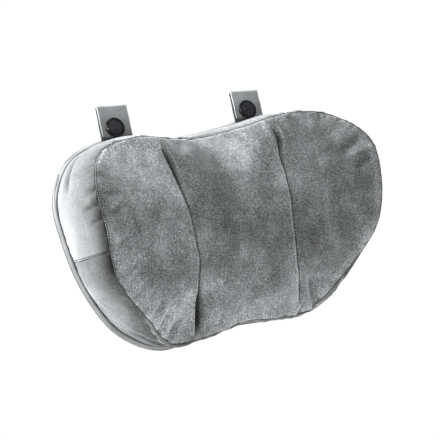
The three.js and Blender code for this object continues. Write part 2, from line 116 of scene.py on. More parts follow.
def make_camera():
    turn, rise, roll = (math.radians(CAMERA[k]) for k in ("turn", "rise", "roll"))
    back = Vector((
        -math.sin(turn) * math.cos(rise), -math.cos(turn) * math.cos(rise), math.sin(rise),
    ))
    level_right = Vector((math.cos(turn), -math.sin(turn), 0))
    level_up = level_right.cross(-back)
    right = level_right * math.cos(roll) - level_up * math.sin(roll)
    up = level_right * math.sin(roll) + level_up * math.cos(roll)
    data = bpy.data.cameras.new("camera")
    data.lens = CAMERA["lens"]
    data.sensor_width = 36
    data.clip_start = 0.01
    camera = bpy.data.objects.new("camera", data)
    bpy.context.scene.collection.objects.link(camera)
    place = Matrix((right, up, back)).transposed().to_4x4()
    place.translation = (Vector(CAMERA_TARGET) + back * CAMERA["distance"]) * MM
    camera.matrix_world = place
    bpy.context.scene.camera = camera


make_camera()

# ---------------------------------------------------------------- numbers


def smooth(t):
    """0 below 0, 1 above 1 and an easy turn between them."""
    t = np.clip(t, 0, 1)
    return t * t * (3 - 2 * t)


def bump(distance, width):
    return np.exp(-((distance / width) ** 2))


def unit(vectors):
    return vectors / np.maximum(np.linalg.norm(vectors, axis=-1, keepdims=True), 1e-9)


def arc_length(line):
    """Distance along a line of points from its start."""
    steps = np.linalg.norm(np.diff(line, axis=0), axis=1)
    return np.concatenate([[0], np.cumsum(steps)])


def through(stations, values, at):
    """A smooth curve through values at rising stations."""
    stations, values = np.asarray(stations, float), np.asarray(values, float)
    slopes = np.gradient(values, stations)
    at = np.clip(at, stations[0], stations[-1])
    i = np.clip(np.searchsorted(stations, at) - 1, 0, len(stations) - 2)
    width = stations[i + 1] - stations[i]
    t = (at - stations[i]) / width
    rise = values[i + 1] - values[i]
    return (
        values[i] + rise * t * t * (3 - 2 * t)
        + width * slopes[i] * t * (1 - t) ** 2
        - width * slopes[i + 1] * t * t * (1 - t)
    )


def graded(start, end, coarse, fine, near, centres):
    """Stations from start to end, fine apart within near of each centre and coarse elsewhere."""
    line = np.linspace(start, end, 8000)
    away = np.min([np.abs(line - centre) for centre in centres], axis=0)
    spacing = fine + (coarse - fine) * smooth((away - near) / (2 * near))
    count = np.concatenate([[0], np.cumsum(np.diff(line) / spacing[:-1])])
    steps = int(round(count[-1]))
    return np.interp(np.linspace(0, count[-1], steps + 1), count, line)


def ripple(x, z, wavelength, seed, waves=20):
    """A smooth random field of about unit height."""
    rng = np.random.default_rng(seed)
    total = np.zeros(np.shape(x))
    for _ in range(waves):
        heading, phase = rng.uniform(0, 2 * math.pi, 2)
        number = 2 * math.pi / (wavelength * rng.uniform(0.7, 1.5))
        total += np.cos(number * (x * math.cos(heading) + z * math.sin(heading)) + phase)
    return total / math.sqrt(waves / 2)


def around(arc, whole, wavelength, seed, waves=9):
    """A smooth random line that closes on itself after whole."""
    rng = np.random.default_rng(seed)
    total = np.zeros(np.shape(arc))
    for _ in range(waves):
        turns = round(whole / (wavelength * rng.uniform(0.65, 1.7)))
        total += np.cos(2 * math.pi * turns * arc / whole + rng.uniform(0, 2 * math.pi))
    return total / math.sqrt(waves / 2)


# ---------------------------------------------------------------- the cushion's skin


def closed_points(half):
    """Control points of a whole outline from one half of it."""
    half = np.asarray(half, float)
    mirrored = half[1:-1][::-1] * np.array([-1, 1, 1])
    return np.vstack([half, mirrored])


BACK_POINTS = closed_points([(x, 0, z) for x, z in BACK_OUTLINE])
SEAM_POINTS = closed_points([(x, -depth, z) for x, depth, z in FRONT_SEAM])
ON_RIGHT_LOBE = smooth((SEAM_POINTS[:, 0] - 70) / 30) * smooth((SEAM_POINTS[:, 2] + 45) / 40)
SEAM_POINTS[:, 0] += RIGHT_LOBE_SHIFT * ON_RIGHT_LOBE


def curve(points, u):
    """A point of a closed centripetal Catmull-Rom curve; u is 0 at the top, then goes to +X."""
    u = np.asarray(u, float)
    count = len(points)
    place = (u % 1) * count
    i = np.floor(place).astype(int) % count
    t = (place - np.floor(place))[..., None]
    p0, p1, p2, p3 = (points[(i + k) % count] for k in (-1, 0, 1, 2))
    d0, d1, d2 = (
        np.sqrt(np.linalg.norm(b - a, axis=-1))[..., None]
        for a, b in ((p0, p1), (p1, p2), (p2, p3))
    )
    m1 = ((p1 - p0) / d0 - (p2 - p0) / (d0 + d1) + (p2 - p1) / d1) * d1
    m2 = ((p2 - p1) / d1 - (p3 - p1) / (d1 + d2) + (p3 - p2) / d2) * d1
    return (
        p1 + m1 * t + (3 * (p2 - p1) - 2 * m1 - m2) * t**2 + (2 * (p1 - p2) + m1 + m2) * t**3
    )


def even_places(points, from_u, to_u, share):
    """Places u of an outline at shares of the way along it from one place to another."""
    u = np.linspace(from_u, to_u, 3000)
    arc = arc_length(curve(points, u))
    return np.interp(share * arc[-1], arc, u)


def outline_normal(u):
    tangent = curve(BACK_POINTS, u + 0.004) - curve(BACK_POINTS, u - 0.004)
    return unit(np.stack([-tangent[..., 2], 0 * tangent[..., 0], tangent[..., 0]], -1))


def back_edge(u, inset, y):
    point = curve(BACK_POINTS, u) - outline_normal(u) * inset
    point[..., 1] = y
    return point


def boxing_skin(w, u):
    """The boxing between the back edge, w = 0, and the front seam, w = 1."""
    w = np.asarray(w)[..., None]
    back = back_edge(u, RIM_INSET, -BACK_THICKNESS - GAP)
    x, z = back[..., :1], back[..., 2:]
    lobe_end = smooth((np.abs(x) - 92) / 24) * smooth((z + 50) / 35)
    low_right = smooth((x - 30) / 40) * smooth((-z - 20) / 25)
    crown = BOXING_CROWN - LOW_CROWN_LOSS * low_right + (SIDE_CROWN - BOXING_CROWN) * lobe_end
    swell = crown * 4 * w * (1 - w)
    return back + (curve(SEAM_POINTS, u) - back) * w + outline_normal(u) * swell


ROUND = np.arange(2400) / 2400
SEAM_LINE = curve(SEAM_POINTS, ROUND)
SEAM_ARC = arc_length(SEAM_LINE)
SEAM_LENGTH = SEAM_ARC[-1] + np.linalg.norm(SEAM_LINE[0] - SEAM_LINE[-1])
SEAM_ANGLE = np.arctan2(SEAM_LINE[:, 2] - CENTRE_Z, SEAM_LINE[:, 0]) % (2 * math.pi)
BY_ANGLE = np.argsort(SEAM_ANGLE)


def panel_skin(x, z):
    """The front panel over x and z: a saddle from its middle out to the seam."""
    angle = np.arctan2(z - CENTRE_Z, x) % (2 * math.pi)
    seam_radius = np.hypot(SEAM_LINE[:, 0], SEAM_LINE[:, 2] - CENTRE_Z)
    known = SEAM_ANGLE[BY_ANGLE]
    radius = np.interp(angle, known, seam_radius[BY_ANGLE], period=2 * math.pi)
    seam_depth = np.interp(angle, known, -SEAM_LINE[BY_ANGLE, 1], period=2 * math.pi)
    reach = np.hypot(x, z - CENTRE_Z) / radius
    depth = CENTRE_DEPTH + (seam_depth - CENTRE_DEPTH) * reach**2
    return np.stack([x, -depth, z], -1)


def nearest(line, points):
    """Distance from each point to a line of points, and the line's nearest index."""
    tree = KDTree(len(line))
    for i, point in enumerate(line):
        tree.insert(point, i)
    tree.balance()
    found = [tree.find(point)[1:] for point in points.reshape(-1, 3)]
    index, distance = (np.array(values) for values in zip(*found))
    return distance.reshape(points.shape[:-1]), index.astype(int).reshape(points.shape[:-1])


def grid_normals(grid, outwards):
    """Normals of a grid of points, on the side that outwards points to."""
    down = np.gradient(grid, axis=0)
    across = np.gradient(grid, axis=1)
    normals = unit(np.cross(down, across))
    if np.mean(np.sum(normals * outwards, -1)) < 0:
        normals = -normals
    return normals


def seam_bisector():
    """At each station of the seam, the direction half way between panel and boxing."""
    inner = SEAM_LINE.copy()
    inner[:, 0] *= 0.94
    inner[:, 2] = CENTRE_Z + (inner[:, 2] - CENTRE_Z) * 0.94
    panel_side = unit(panel_skin(inner[:, 0], inner[:, 2]) - SEAM_LINE)
    boxing_side = unit(boxing_skin(np.full(len(ROUND), 0.85), ROUND) - SEAM_LINE)
    return -unit(panel_side + boxing_side)


BISECTOR = seam_bisector()


def roll(distance, sink, radius):
    """How a padded face rolls down into a seam: minus sink at the seam, 0 from radius on."""
    t = 1 - np.clip(distance / radius, 0, 1)
    return sink * (np.sqrt(1 - t * t) - 1)


# ---------------------------------------------------------------- making meshes


def new_piece(name, points, faces, material):
    """A smooth-shaded mesh; faces are an array of quads or a list of faces of any size."""
    mesh = bpy.data.meshes.new(name)
    faces = faces if isinstance(faces, list) else faces.tolist()
    mesh.from_pydata((np.asarray(points) * MM).tolist(), [], faces)
    mesh.update()
    mesh.shade_smooth()
    mesh.materials.append(material)
    piece = bpy.data.objects.new(name, mesh)
    bpy.context.scene.collection.objects.link(piece)
    return piece


def facing_out(points, faces):
    """The faces, turned so that the closed form has a positive volume."""
    a, b, c = (points[faces[:, k]] for k in (0, 1, 2))
    d = points[faces[:, 3]]
    volume = np.sum(a * np.cross(b, c)) + np.sum(a * np.cross(c, d))
    return faces if volume > 0 else faces[:, ::-1]


def grid_quads(rows, columns, wrap=False):
    index = np.arange(rows * columns).reshape(rows, columns)
    right = np.roll(index, -1, axis=1) if wrap else index[:, 1:]
    left = index if wrap else index[:, :-1]
    return np.stack([left[:-1], left[1:], right[1:], right[:-1]], -1).reshape(-1, 4)


def closed_sheet(outer, inner):
    """Points and faces of the closed form between two grids of the same size."""
    rows, columns = outer.shape[:2]
    count = rows * columns
    index = np.arange(count).reshape(rows, columns)
    quads = grid_quads(rows, columns)
    rim = np.concatenate([index[0, :-1], index[:-1, -1], index[-1, :0:-1], index[:0:-1, 0]])
    after = np.roll(rim, -1)
    sides = np.stack([rim, after, after + count, rim + count], -1)
    points = np.vstack([outer.reshape(-1, 3), inner.reshape(-1, 3)])
    faces = np.vstack([quads, quads[:, ::-1] + count, sides])
    return points, facing_out(points, faces)


def end_fans(rows, columns):
    """Triangles from both ends of a wrapped grid to the two points listed after it."""
    first, second, last = rows * columns, rows * columns + 1, (rows - 1) * columns
    faces = []
    for i in range(columns):
        after = (i + 1) % columns
        faces.append([first, i, after])
        faces.append([second, last + after, last + i])
    return faces


def tube(path, radius, sides):
    """A round tube along a path, with both ends closed to a point."""
    path = np.asarray(path, float)
    tangent = unit(np.gradient(path, axis=0))
    side = unit(np.cross(tangent, np.array([0.31, 0.22, 0.93])))
    other = np.cross(tangent, side)
    angle = np.arange(sides) * 2 * math.pi / sides
    size = np.full(len(path), float(radius))
    size[[0, -1]] = radius * 0.05
    ring = side[:, None] * np.cos(angle)[:, None] + other[:, None] * np.sin(angle)[:, None]
    points = path[:, None] + ring * size[:, None, None]
    return points.reshape(-1, 3), grid_quads(len(path), sides, wrap=True)


def merged(parts):
    """One list of points and faces from several."""
    points, faces, start = [], [], 0
    for part_points, part_faces in parts:
        points.append(part_points)
        faces.append(part_faces + start)
        start += len(part_points)
    return np.vstack(points), np.vstack(faces)


def stitches(path, up, length, gap, width, height):
    """A run of separate stitches along a dense path, each a slim bead lying on the cloth."""
    arc = arc_length(path)
    starts = np.arange(0, arc[-1] - length, length + gap)
    profile = np.array([(-1, 0.15), (-0.8, 0.7), (0, 1), (0.8, 0.7), (1, 0.15)])
    angle = np.arange(8) * math.pi / 4
    parts = []
    for start in starts:
        middle, ahead = (
            np.array([np.interp(at, arc, path[:, k]) for k in range(3)])
            for at in (start + length / 2, start + length)
        )
        rise = unit(np.array([np.interp(start + length / 2, arc, up[:, k]) for k in range(3)]))
        along = unit(ahead - middle)
        across = unit(np.cross(rise, along))
        lift = np.cross(along, across)
        rings = [
            middle + along * (x * length / 2)
            + across * (size * width / 2) * np.cos(angle)[:, None]
            + lift * (size * height / 2) * np.sin(angle)[:, None]
            for x, size in profile
        ]
        parts.append((np.vstack(rings), grid_quads(len(profile), len(angle), wrap=True)))
    return merged(parts)


# ---------------------------------------------------------------- materials


def node_material(name, colour, roughness, **sockets):
    """A Principled material; sockets are set directly on the shader."""
    material = bpy.data.materials.new(name)
    material.use_nodes = True
    shader = material.node_tree.nodes["Principled BSDF"]
    shader.inputs["Base Color"].default_value = (*colour, 1)
    shader.inputs["Roughness"].default_value = roughness
    for socket, value in sockets.items():
        shader.inputs[socket.replace("_", " ")].default_value = value
    return material


class Nodes:
    """Short ways to add linked nodes to a material."""

    def __init__(self, material):
        self.tree = material.node_tree
        self.shader = self.tree.nodes["Principled BSDF"]
        self.coordinates = self.tree.nodes.new("ShaderNodeTexCoord").outputs["Object"]

    def link(self, source, socket):
        self.tree.links.new(source, socket)

    def add(self, kind, output, inputs):
        """A new node, with each input set to a number or linked; gives one of its outputs."""
        node = self.tree.nodes.new(kind)
        for name, value in inputs.items():
            if isinstance(value, bpy.types.NodeSocket):
                self.link(value, node.inputs[name])
            else:
                node.inputs[name].default_value = value
        return node.outputs[output]

    def stretched(self, scale):
        inputs = {"Vector": self.coordinates, "Scale": scale}
        return self.add("ShaderNodeMapping", "Vector", inputs)

    def noise(self, size_mm, detail=2.0, roughness=0.5, distortion=0.0, vector=None):
        return self.add("ShaderNodeTexNoise", "Fac", {
            "Vector": vector or self.coordinates, "Scale": 1 / (size_mm * MM), "Detail": detail,
            "Roughness": roughness, "Distortion": distortion,
        })

    def wave(self, size_mm, axis):
        inputs = {"Vector": self.coordinates, "Scale": 0.314 / (size_mm * MM)}
        fac = self.add("ShaderNodeTexWave", "Fac", inputs)
        fac.node.bands_direction = axis
        return fac

    def math(self, operation, a, b):
        node = self.tree.nodes.new("ShaderNodeMath")
        node.operation = operation
        for socket, value in zip(node.inputs, (a, b)):
            if isinstance(value, (int, float)):
                socket.default_value = value
            else:
                self.link(value, socket)
        return node.outputs[0]

    def ramp(self, value, stops):
        node = self.tree.nodes.new("ShaderNodeValToRGB")
        elements = node.color_ramp.elements
        while len(elements) < len(stops):
            elements.new(0.5)
        for element, (position, colour) in zip(elements, stops):
            element.position = position
            element.color = (*colour, 1)
        self.link(value, node.inputs["Fac"])
        return node.outputs["Color"]

    def attribute(self, name):
        node = self.tree.nodes.new("ShaderNodeAttribute")
        node.attribute_name = name
        return node.outputs["Fac"]

    def times(self, colour, factor):
        node = self.tree.nodes.new("ShaderNodeVectorMath")
        node.operation = "SCALE"
        self.link(colour, node.inputs[0])
        self.link(factor, node.inputs["Scale"])
        return node.outputs[0]

    def bump(self, height, distance_mm, strength):
        inputs = {"Height": height, "Distance": distance_mm * MM, "Strength": strength}
        self.link(self.add("ShaderNodeBump", "Normal", inputs), self.shader.inputs["Normal"])

    def colour(self, colour):
        self.link(colour, self.shader.inputs["Base Color"])


def grey(value, tint=(0.96, 1.0, 1.02)):
    return tuple(value * part for part in tint)


def velvet_material():
    material = node_material(
        "velvet", grey(0.1), 0.9, Sheen_Weight=0.7, Sheen_Roughness=0.4,
        Sheen_Tint=(0.95, 0.98, 1.0, 1.0), Specular_IOR_Level=0.1,
    )
    n = Nodes(material)
    patches = n.noise(46, 2, 0.5, 0.4)
    nap = n.noise(10, 4, 0.6, 0.3, n.stretched((1, 1, 0.7)))
    pile = n.noise(1.1, 3, 0.75)
    value = n.math("ADD", n.math("MULTIPLY", patches, 0.3), n.math("MULTIPLY", nap, 0.18))
    value = n.math("ADD", value, n.math("MULTIPLY", pile, 0.62))
    spread = n.math("MULTIPLY", n.math("SUBTRACT", value, 0.55), n.attribute("contrast"))
    value = n.math("ADD", spread, 0.55)
    colour = n.ramp(value, [(0.4, grey(0.016)), (0.55, grey(0.094)), (0.7, grey(0.27))])
    # The shade attribute paints light and shade into the pile's colour.
    n.colour(n.times(colour, n.attribute("shade")))
    n.link(n.attribute("lustre"), n.shader.inputs["Sheen Weight"])
    n.bump(n.math("ADD", pile, n.math("MULTIPLY", nap, 0.5)), 0.6, 0.7)
    return material


def microfibre_material(name, value, sheen):
    material = node_material(
        name, grey(value, (1, 1, 1.02)), 0.8, Sheen_Weight=sheen, Sheen_Roughness=0.5,
        Specular_IOR_Level=0.15,
    )
    n = Nodes(material)
    fibres = n.noise(0.5, 3, 0.65)
    cloud = n.noise(14, 2, 0.5)
    mix = n.math("ADD", n.math("MULTIPLY", fibres, 0.5), n.math("MULTIPLY", cloud, 0.5))
    colour = n.ramp(mix, [(0.3, grey(value * 0.75)), (0.7, grey(value * 1.3))])
    # The shade attribute paints light and shade into the colour; on the straps it is lighter at
    # the fold and darker low down.
    n.colour(n.times(colour, n.attribute("shade")))
    n.bump(fibres, 0.12, 0.6)
    return material


def woven_material(name, low, high, pitch):
    """Plain weave with threads along X and Z."""
    material = node_material(name, high, 0.85, Specular_IOR_Level=0.2, Sheen_Weight=0.15)
    n = Nodes(material)
    weave = n.math("MULTIPLY", n.wave(pitch, "X"), n.wave(pitch, "Z"))
    fuzz = n.noise(pitch * 3, 3, 0.6)
    n.colour(n.ramp(n.math("ADD", n.math("MULTIPLY", weave, 0.6), n.math("MULTIPLY", fuzz, 0.5)),
                    [(0.15, low), (0.75, high)]))
    n.bump(weave, pitch * 0.3, 0.8)
    return material


def foam_material():
    material = node_material("foam", (0.82, 0.75, 0.52), 0.95, Subsurface_Weight=0.1)
    n = Nodes(material)
    cells = n.noise(0.9, 4, 0.75)
    n.colour(n.ramp(cells, [(0.3, (0.62, 0.54, 0.33)), (0.65, (0.86, 0.8, 0.6))]))
    n.bump(cells, 0.5, 0.9)
    return material


def metal_material(name, colour, roughness, wear_mm):
    material = node_material(name, colour, roughness, Metallic=1.0)
    n = Nodes(material)
    wear = n.noise(wear_mm, 4, 0.65)
    dark = tuple(part * 0.72 for part in colour)
    n.colour(n.ramp(wear, [(0.35, dark), (0.62, colour)]))
    n.link(n.math("ADD", n.math("MULTIPLY", wear, 0.25), roughness - 0.1),
           n.shader.inputs["Roughness"])
    n.bump(n.noise(0.35, 3, 0.6), 0.02, 0.5)
    return material


def enamel_material():
    material = node_material("snap_cap", (0.006, 0.006, 0.007), 0.2,
                             Coat_Weight=0.2, Coat_Roughness=0.12, Specular_IOR_Level=0.2)
    n = Nodes(material)
    haze = n.noise(3.0, 4, 0.6)
    colour = n.ramp(haze, [(0.3, (0.003, 0.003, 0.004)), (0.75, (0.009, 0.009, 0.01))])
    # The shade attribute paints a sheen on the cap's middle.
    n.colour(n.times(colour, n.attribute("shade")))
    n.link(n.math("ADD", n.math("MULTIPLY", haze, 0.2), 0.18), n.shader.inputs["Roughness"])
    n.bump(n.noise(0.5, 3, 0.6), 0.02, 0.5)
    return material


def nylon_material():
    material = node_material("zip_coil", grey(0.1), 0.35)
    n = Nodes(material)
    n.colour(n.ramp(n.noise(2.5, 3, 0.6), [(0.3, grey(0.06)), (0.7, grey(0.14))]))
    n.bump(n.noise(0.3, 2, 0.5), 0.02, 0.5)
    return material


def thread_material():
    material = node_material("thread", grey(0.01), 0.8, Specular_IOR_Level=0.1)
    n = Nodes(material)
    n.colour(n.ramp(n.noise(0.3, 2, 0.5), [(0.3, grey(0.006)), (0.7, grey(0.016))]))
    return material


VELVET = velvet_material()
BACKING = microfibre_material("backing", 0.14, 0.12)
STRAP_FABRIC = microfibre_material("strap", 0.23, 0.05)
TAIL_FABRIC = node_material("strap_tail", grey(0.16), 0.8)
LINER = woven_material("liner", (0.6, 0.59, 0.55), (0.86, 0.85, 0.81), 0.5)
TAPE = woven_material("zip_tape", grey(0.08), grey(0.2), 0.45)
COIL = nylon_material()
FOAM = foam_material()
ZINC = metal_material("zip_metal", (0.42, 0.42, 0.44), 0.34, 3.0)
NICKEL = metal_material("snap_metal", (0.62, 0.61, 0.58), 0.28, 2.0)
ENAMEL = enamel_material()
THREAD = thread_material()


def set_value(piece, name, values):
    """Stores one number for each point, which a material reads."""
    attribute = piece.data.attributes.new(name, "FLOAT", "POINT")
    attribute.data.foreach_set("value", np.asarray(values, np.float32).ravel())


def set_pile(piece, shade, lustre, contrast):
    """Stores the pile's painted light and shade, how it shines at its edges and how mottled it is.
    """
    for name, value in (("shade", shade), ("lustre", lustre), ("contrast", contrast)):
        set_value(piece, name, np.tile(np.broadcast_to(value, shade.shape).ravel(), 2))


# ---------------------------------------------------------------- front panel

CORNERS = {"top": 0.165, "bottom": 0.325}  # where the grid's four corners lie on the seam
PANEL_LIP = {"sink": 2.3, "radius": 5.0}  # how the panel rolls into the front seam
BOXING_LIP = {"sink": 2.6, "radius": 9.0}
SHOULDER = {"height": 1.6, "reach": 16.0}  # fullness of both faces beside that seam
# Gathers beside a seam: height, wavelength, seed and how far they reach.
PANEL_PUCKERS = [(0.2, 8, 11, 7), (0.3, 19, 12, 15)]


def dart_x(z, side):
    """Distance of a dart from the middle."""
    stations, values = zip(*DART_PATH[::-1])
    drift = side * DART_DRIFT * smooth((-40 - z) / 30)
    further = (side > 0) * (RIGHT_DART_OUT + RIGHT_DART_TURN * bump(z + 40, 16))
    return through(stations, values, z) + drift + further


def boundary(from_u, to_u, share):
    """Points of the seam whose x runs evenly from one corner to the other."""
    u = np.linspace(from_u, to_u, 3000)
    line = curve(SEAM_POINTS, u)
    x = line[0, 0] + (line[-1, 0] - line[0, 0]) * share
    return curve(SEAM_POINTS, np.interp(x, line[:, 0], u))


def side_boundary(from_u, to_u, share):
    """Points of the seam at even distances along it."""
    return curve(SEAM_POINTS, even_places(SEAM_POINTS, from_u, to_u, share))


def coons(bottom, top, left, right, across, up):
    """Fills four edge lines, given as rows of points, with a grid."""
    s = across[None, :, None]
    t = up[:, None, None]
    flat = (1 - t) * bottom[None] + t * top[None]
    flat = flat + (1 - s) * left[:, None] + s * right[:, None]
    corners = (1 - s) * ((1 - t) * bottom[0] + t * top[0])
    return flat - corners - s * ((1 - t) * bottom[-1] + t * top[-1])


def panel_grid():
    """Grid over the front panel, fine along its edge and along both darts."""
    half, dart = 118, 43
    x = graded(-half, half, 1.15, 0.34, 6, [-dart, dart, -half, half])
    across = (x + half) / (2 * half)
    up = graded(0, 150, 1.15, 0.4, 4, [0, 150]) / 150
    top, bottom = CORNERS["top"], CORNERS["bottom"]
    grid = coons(
        boundary(1 - bottom, bottom, across), boundary(-top, top, across),
        side_boundary(1 - bottom, 1 - top, up), side_boundary(bottom, top, up), across, up,
    )
    at_dart = int(np.argmin(np.abs(x - dart)))
    for row in grid[1:-1]:
        here = row[at_dart, 0]
        left, right = (dart_x(row[at_dart, 2], side) for side in (-1, 1))
        row[:, 0] = np.interp(
            row[:, 0], [row[0, 0], -here, 0, here, row[-1, 0]],
            [row[0, 0], -left, 0, right, row[-1, 0]],
        )
    inside = panel_skin(grid[..., 0], grid[..., 2])
    grid[1:-1, 1:-1] = inside[1:-1, 1:-1]
    return grid


# Each row: z, depth of the crease, how far it runs out to the right, height of the lip on its
# left, and of the ridge on its right.
LEFT_DART = [
    (-77, 0.0, 4.0, 0.0, 0.0), (-73, 2.6, 4.0, 0.9, 0.0), (-64, 6.6, 5.5, 1.4, 0.0),
    (-54, 6.4, 4.5, 1.4, 0.0), (-46, 3.6, 2.2, 0.9, 0.1), (-38, 1.6, 1.1, 0.6, 0.1),
    (-12, 0.7, 0.7, 0.5, 0.1), (12, 0.7, 0.7, 0.5, 0.1), (26, 1.7, 0.9, 0.6, 0.4),
    (36, 2.8, 1.0, 0.9, 0.9), (44, 4.6, 1.3, 1.0, 1.5), (54, 4.4, 1.3, 0.8, 1.5),
    (61, 1.4, 1.2, 0.3, 0.9), (66, 0.0, 1.2, 0.0, 0.0),
]
RIGHT_DART = [
    (-75, 0.0, 1.5, 0.0, 0.0), (-70, 1.2, 1.6, 0.3, 0.3), (-64, 3.0, 2.2, 0.6, 0.3),
    (-58, 1.8, 1.8, 0.9, 0.1), (-50, 1.0, 1.0, 0.9, 0.0), (-20, 0.5, 0.7, 0.9, 0.0),
    (10, 0.5, 0.7, 0.9, 0.0), (30, 0.9, 0.8, 0.9, 0.2), (42, 2.2, 1.6, 0.5, 0.9),
    (52, 3.0, 2.8, 0.2, 1.3), (59, 1.8, 3.0, 0.0, 0.8), (64, 0.0, 2.5, 0.0, 0.0),
]
# Folds of the front panel: a path of x and z, its height (a crease has less than 0) and width.
PANEL_FOLDS = [
    ([(-116, 48), (-108, 46), (-100, 48)], -1.4, 2.0),
    ([(-116, 41), (-107, 38), (-98, 39)], 1.1, 2.2),
    ([(-117, 34), (-107, 32), (-96, 34)], -1.8, 2.2),
    ([(-118, 27), (-107, 27), (-98, 30)], 1.1, 2.2),
    ([(-118, 20), (-107, 20), (-99, 24)], -1.7, 2.2),
    ([(-117, 6), (-107, 8), (-99, 13)], -1.4, 2.4),
    ([(-116, -6), (-107, -3), (-100, 1)], -0.9, 2.4),
    ([(-104, -42), (-92, -36), (-80, -28)], -0.8, 2.6),
    ([(-101, -70), (-84, -50), (-72, -37)], 1.2, 2.5),
    ([(-95, -72), (-80, -53), (-71, -43)], -1.3, 2.1),
    ([(-88, -76), (-75, -56), (-68, -45)], 1.2, 2.3),
    ([(-84, -80), (-72, -60), (-66, -52)], -1.4, 1.9),
    ([(-78, -84), (-68, -64), (-62, -52)], 1.1, 2.2),
    ([(-72, -86), (-64, -69), (-60, -61)], -1.2, 1.8),
    ([(-67, -88), (-60, -72), (-56, -62)], 0.7, 2.0),
    ([(116, 42), (106, 37), (93, 33)], -1.3, 3.2),
    ([(117, 32), (108, 30), (97, 27)], 0.6, 2.4),
    ([(119, 24), (109, 21), (99, 16)], -1.2, 2.8),
    ([(64, -84), (58, -70), (54, -58), (51, -46)], 2.3, 1.8),
    ([(70, -80), (62, -67), (57, -52)], -2.2, 3.6),
    ([(47, -84), (53, -76), (58, -69)], -1.4, 1.7),
    ([(42, -84), (47, -76), (50, -70)], 1.3, 1.7),
    ([(-46, -81), (-47, -77), (-47, -73)], -1.2, 1.6),
    ([(20, 68), (24, 60), (27, 53)], -0.7, 2.2),
    ([(26, 69), (29, 62), (31, 56)], 0.6, 2.2),
    ([(-28, 68), (-30, 61), (-33, 54)], -0.6, 2.4),
]


def fold_height(x, z, path, height, width):
    """Height of one fold, which fades out over both of its ends."""
    path = np.asarray(path, float)
    lengths = np.linalg.norm(np.diff(path, axis=0), axis=1)
    best = np.full(x.shape, 1e9)
    share = np.zeros(x.shape)
    for i, length in enumerate(lengths):
        along = (path[i + 1] - path[i]) / length
        reach = (x - path[i, 0]) * along[0] + (z - path[i, 1]) * along[1]
        t = np.clip(reach / length, 0, 1)
        away = np.hypot(x - path[i, 0] - t * length * along[0],
                        z - path[i, 1] - t * length * along[1])
        closer = away < best
        best = np.where(closer, away, best)
        share = np.where(closer, (lengths[:i].sum() + t * length) / lengths.sum(), share)
    fade = smooth(share / 0.3) * smooth((1 - share) / 0.3)
    return height * fade * bump(best, width)


def dart_height(x, z, side, rows):
    """A sewn dart: a narrow crease that opens to a pocket at its ends, with its lip and ridge.

    Gives its height, that of the broad valley it lies in, and where shade is painted into its
    narrow crease and a highlight onto its lip.
    """
    columns = list(zip(*rows))
    stations = columns[0]
    depth, run_out, lip, ridge = (through(stations, column, z) for column in columns[1:])
    q = x - side * dart_x(z, side)
    left = np.exp(-((np.minimum(q, 0) / 0.55) ** 2))
    right = np.exp(-np.abs(np.maximum(q, 0) / np.maximum(run_out, 0.5)) ** 1.3)
    crease = -depth * np.where(q < 0, left, right)
    valley = -1.3 * bump(q, 9) * smooth((z + 80) / 25) * smooth((68 - z) / 25)
    lips = lip * bump(q + 2.2, 1.7) + ridge * bump(q - run_out * 1.5 - 1.6, 1.5)
    pocket = np.maximum(run_out, 0.8) * 0.42
    dark = smooth((depth - 1) / 3) * bump(q - pocket, 0.35 + pocket)
    lip_highlight = bump(q + 0.9, 0.6) * smooth(lip / 0.4)
    return crease + lips, valley, dark, lip_highlight


def shoulder(distance):
    """Fullness of a face beside the front seam."""
    return SHOULDER["height"] * np.exp(-distance / SHOULDER["reach"])


def puckers(arc, distance, sets):
    """Gathers of the cloth beside a seam that runs along arc."""
    return sum(
        height * around(arc, SEAM_LENGTH, wavelength, seed) * np.exp(-distance / reach)
        for height, wavelength, seed, reach in sets
    )


def velvet_sheet(name, outer, direction):
    points, faces = closed_sheet(outer, outer - direction * COVER)
    return new_piece(name, points, faces, VELVET)


def painted_pile_light(x, z, steepness, distance):
    """Painted light and shade on the front's pile, where light falls on it: 1 where none is
    painted.
    """
    left, right = x + dart_x(z, -1), x - dart_x(z, 1)
    places = (
        (0.45, smooth((steepness - 0.35) / 0.5)),  # painted sheen on faces that look up or down
        (0.35, np.exp(-distance / 9) * smooth((z - 40) / 20)),  # beside the top seam
        # along the right lobe's rim
        (0.55, bump(distance - 4, 3.5) * smooth((x - 20) / 60) * smooth((45 - z) / 20)),
        (0.28, smooth((-x - 45) / 30)),  # the left lobe, painted lighter on the key light's side
        (-0.2, smooth((x - 40) / 20)),  # the right lobe, painted darker
        (0.45, smooth((z - 22) / 40) * smooth((-x - 40) / 20)),  # the left lobe's top
        (0.55, bump(left + 8, 8) * smooth((left < 0) * (z + 5) / 30)),  # left of the left dart
        (0.2, bump(left + 5, 6) * (left < 0)),  # along the darts' left lips
        (0.22, bump(right + 4, 6) * (right < 0)),
        (-0.14, smooth((z - 30) / 20) * bump(x - 18, 30)),  # the saddle below the top seam
        (-0.15, smooth((x - 95) / 15)),  # the right lobe's end
        (0.35, bump(x + 30, 14) * smooth((z - 42) / 12)),  # above the saddle
    )
    light = np.ones(x.shape)
    for strength, where in places:
        light = light * (1 + strength * where)
    return light


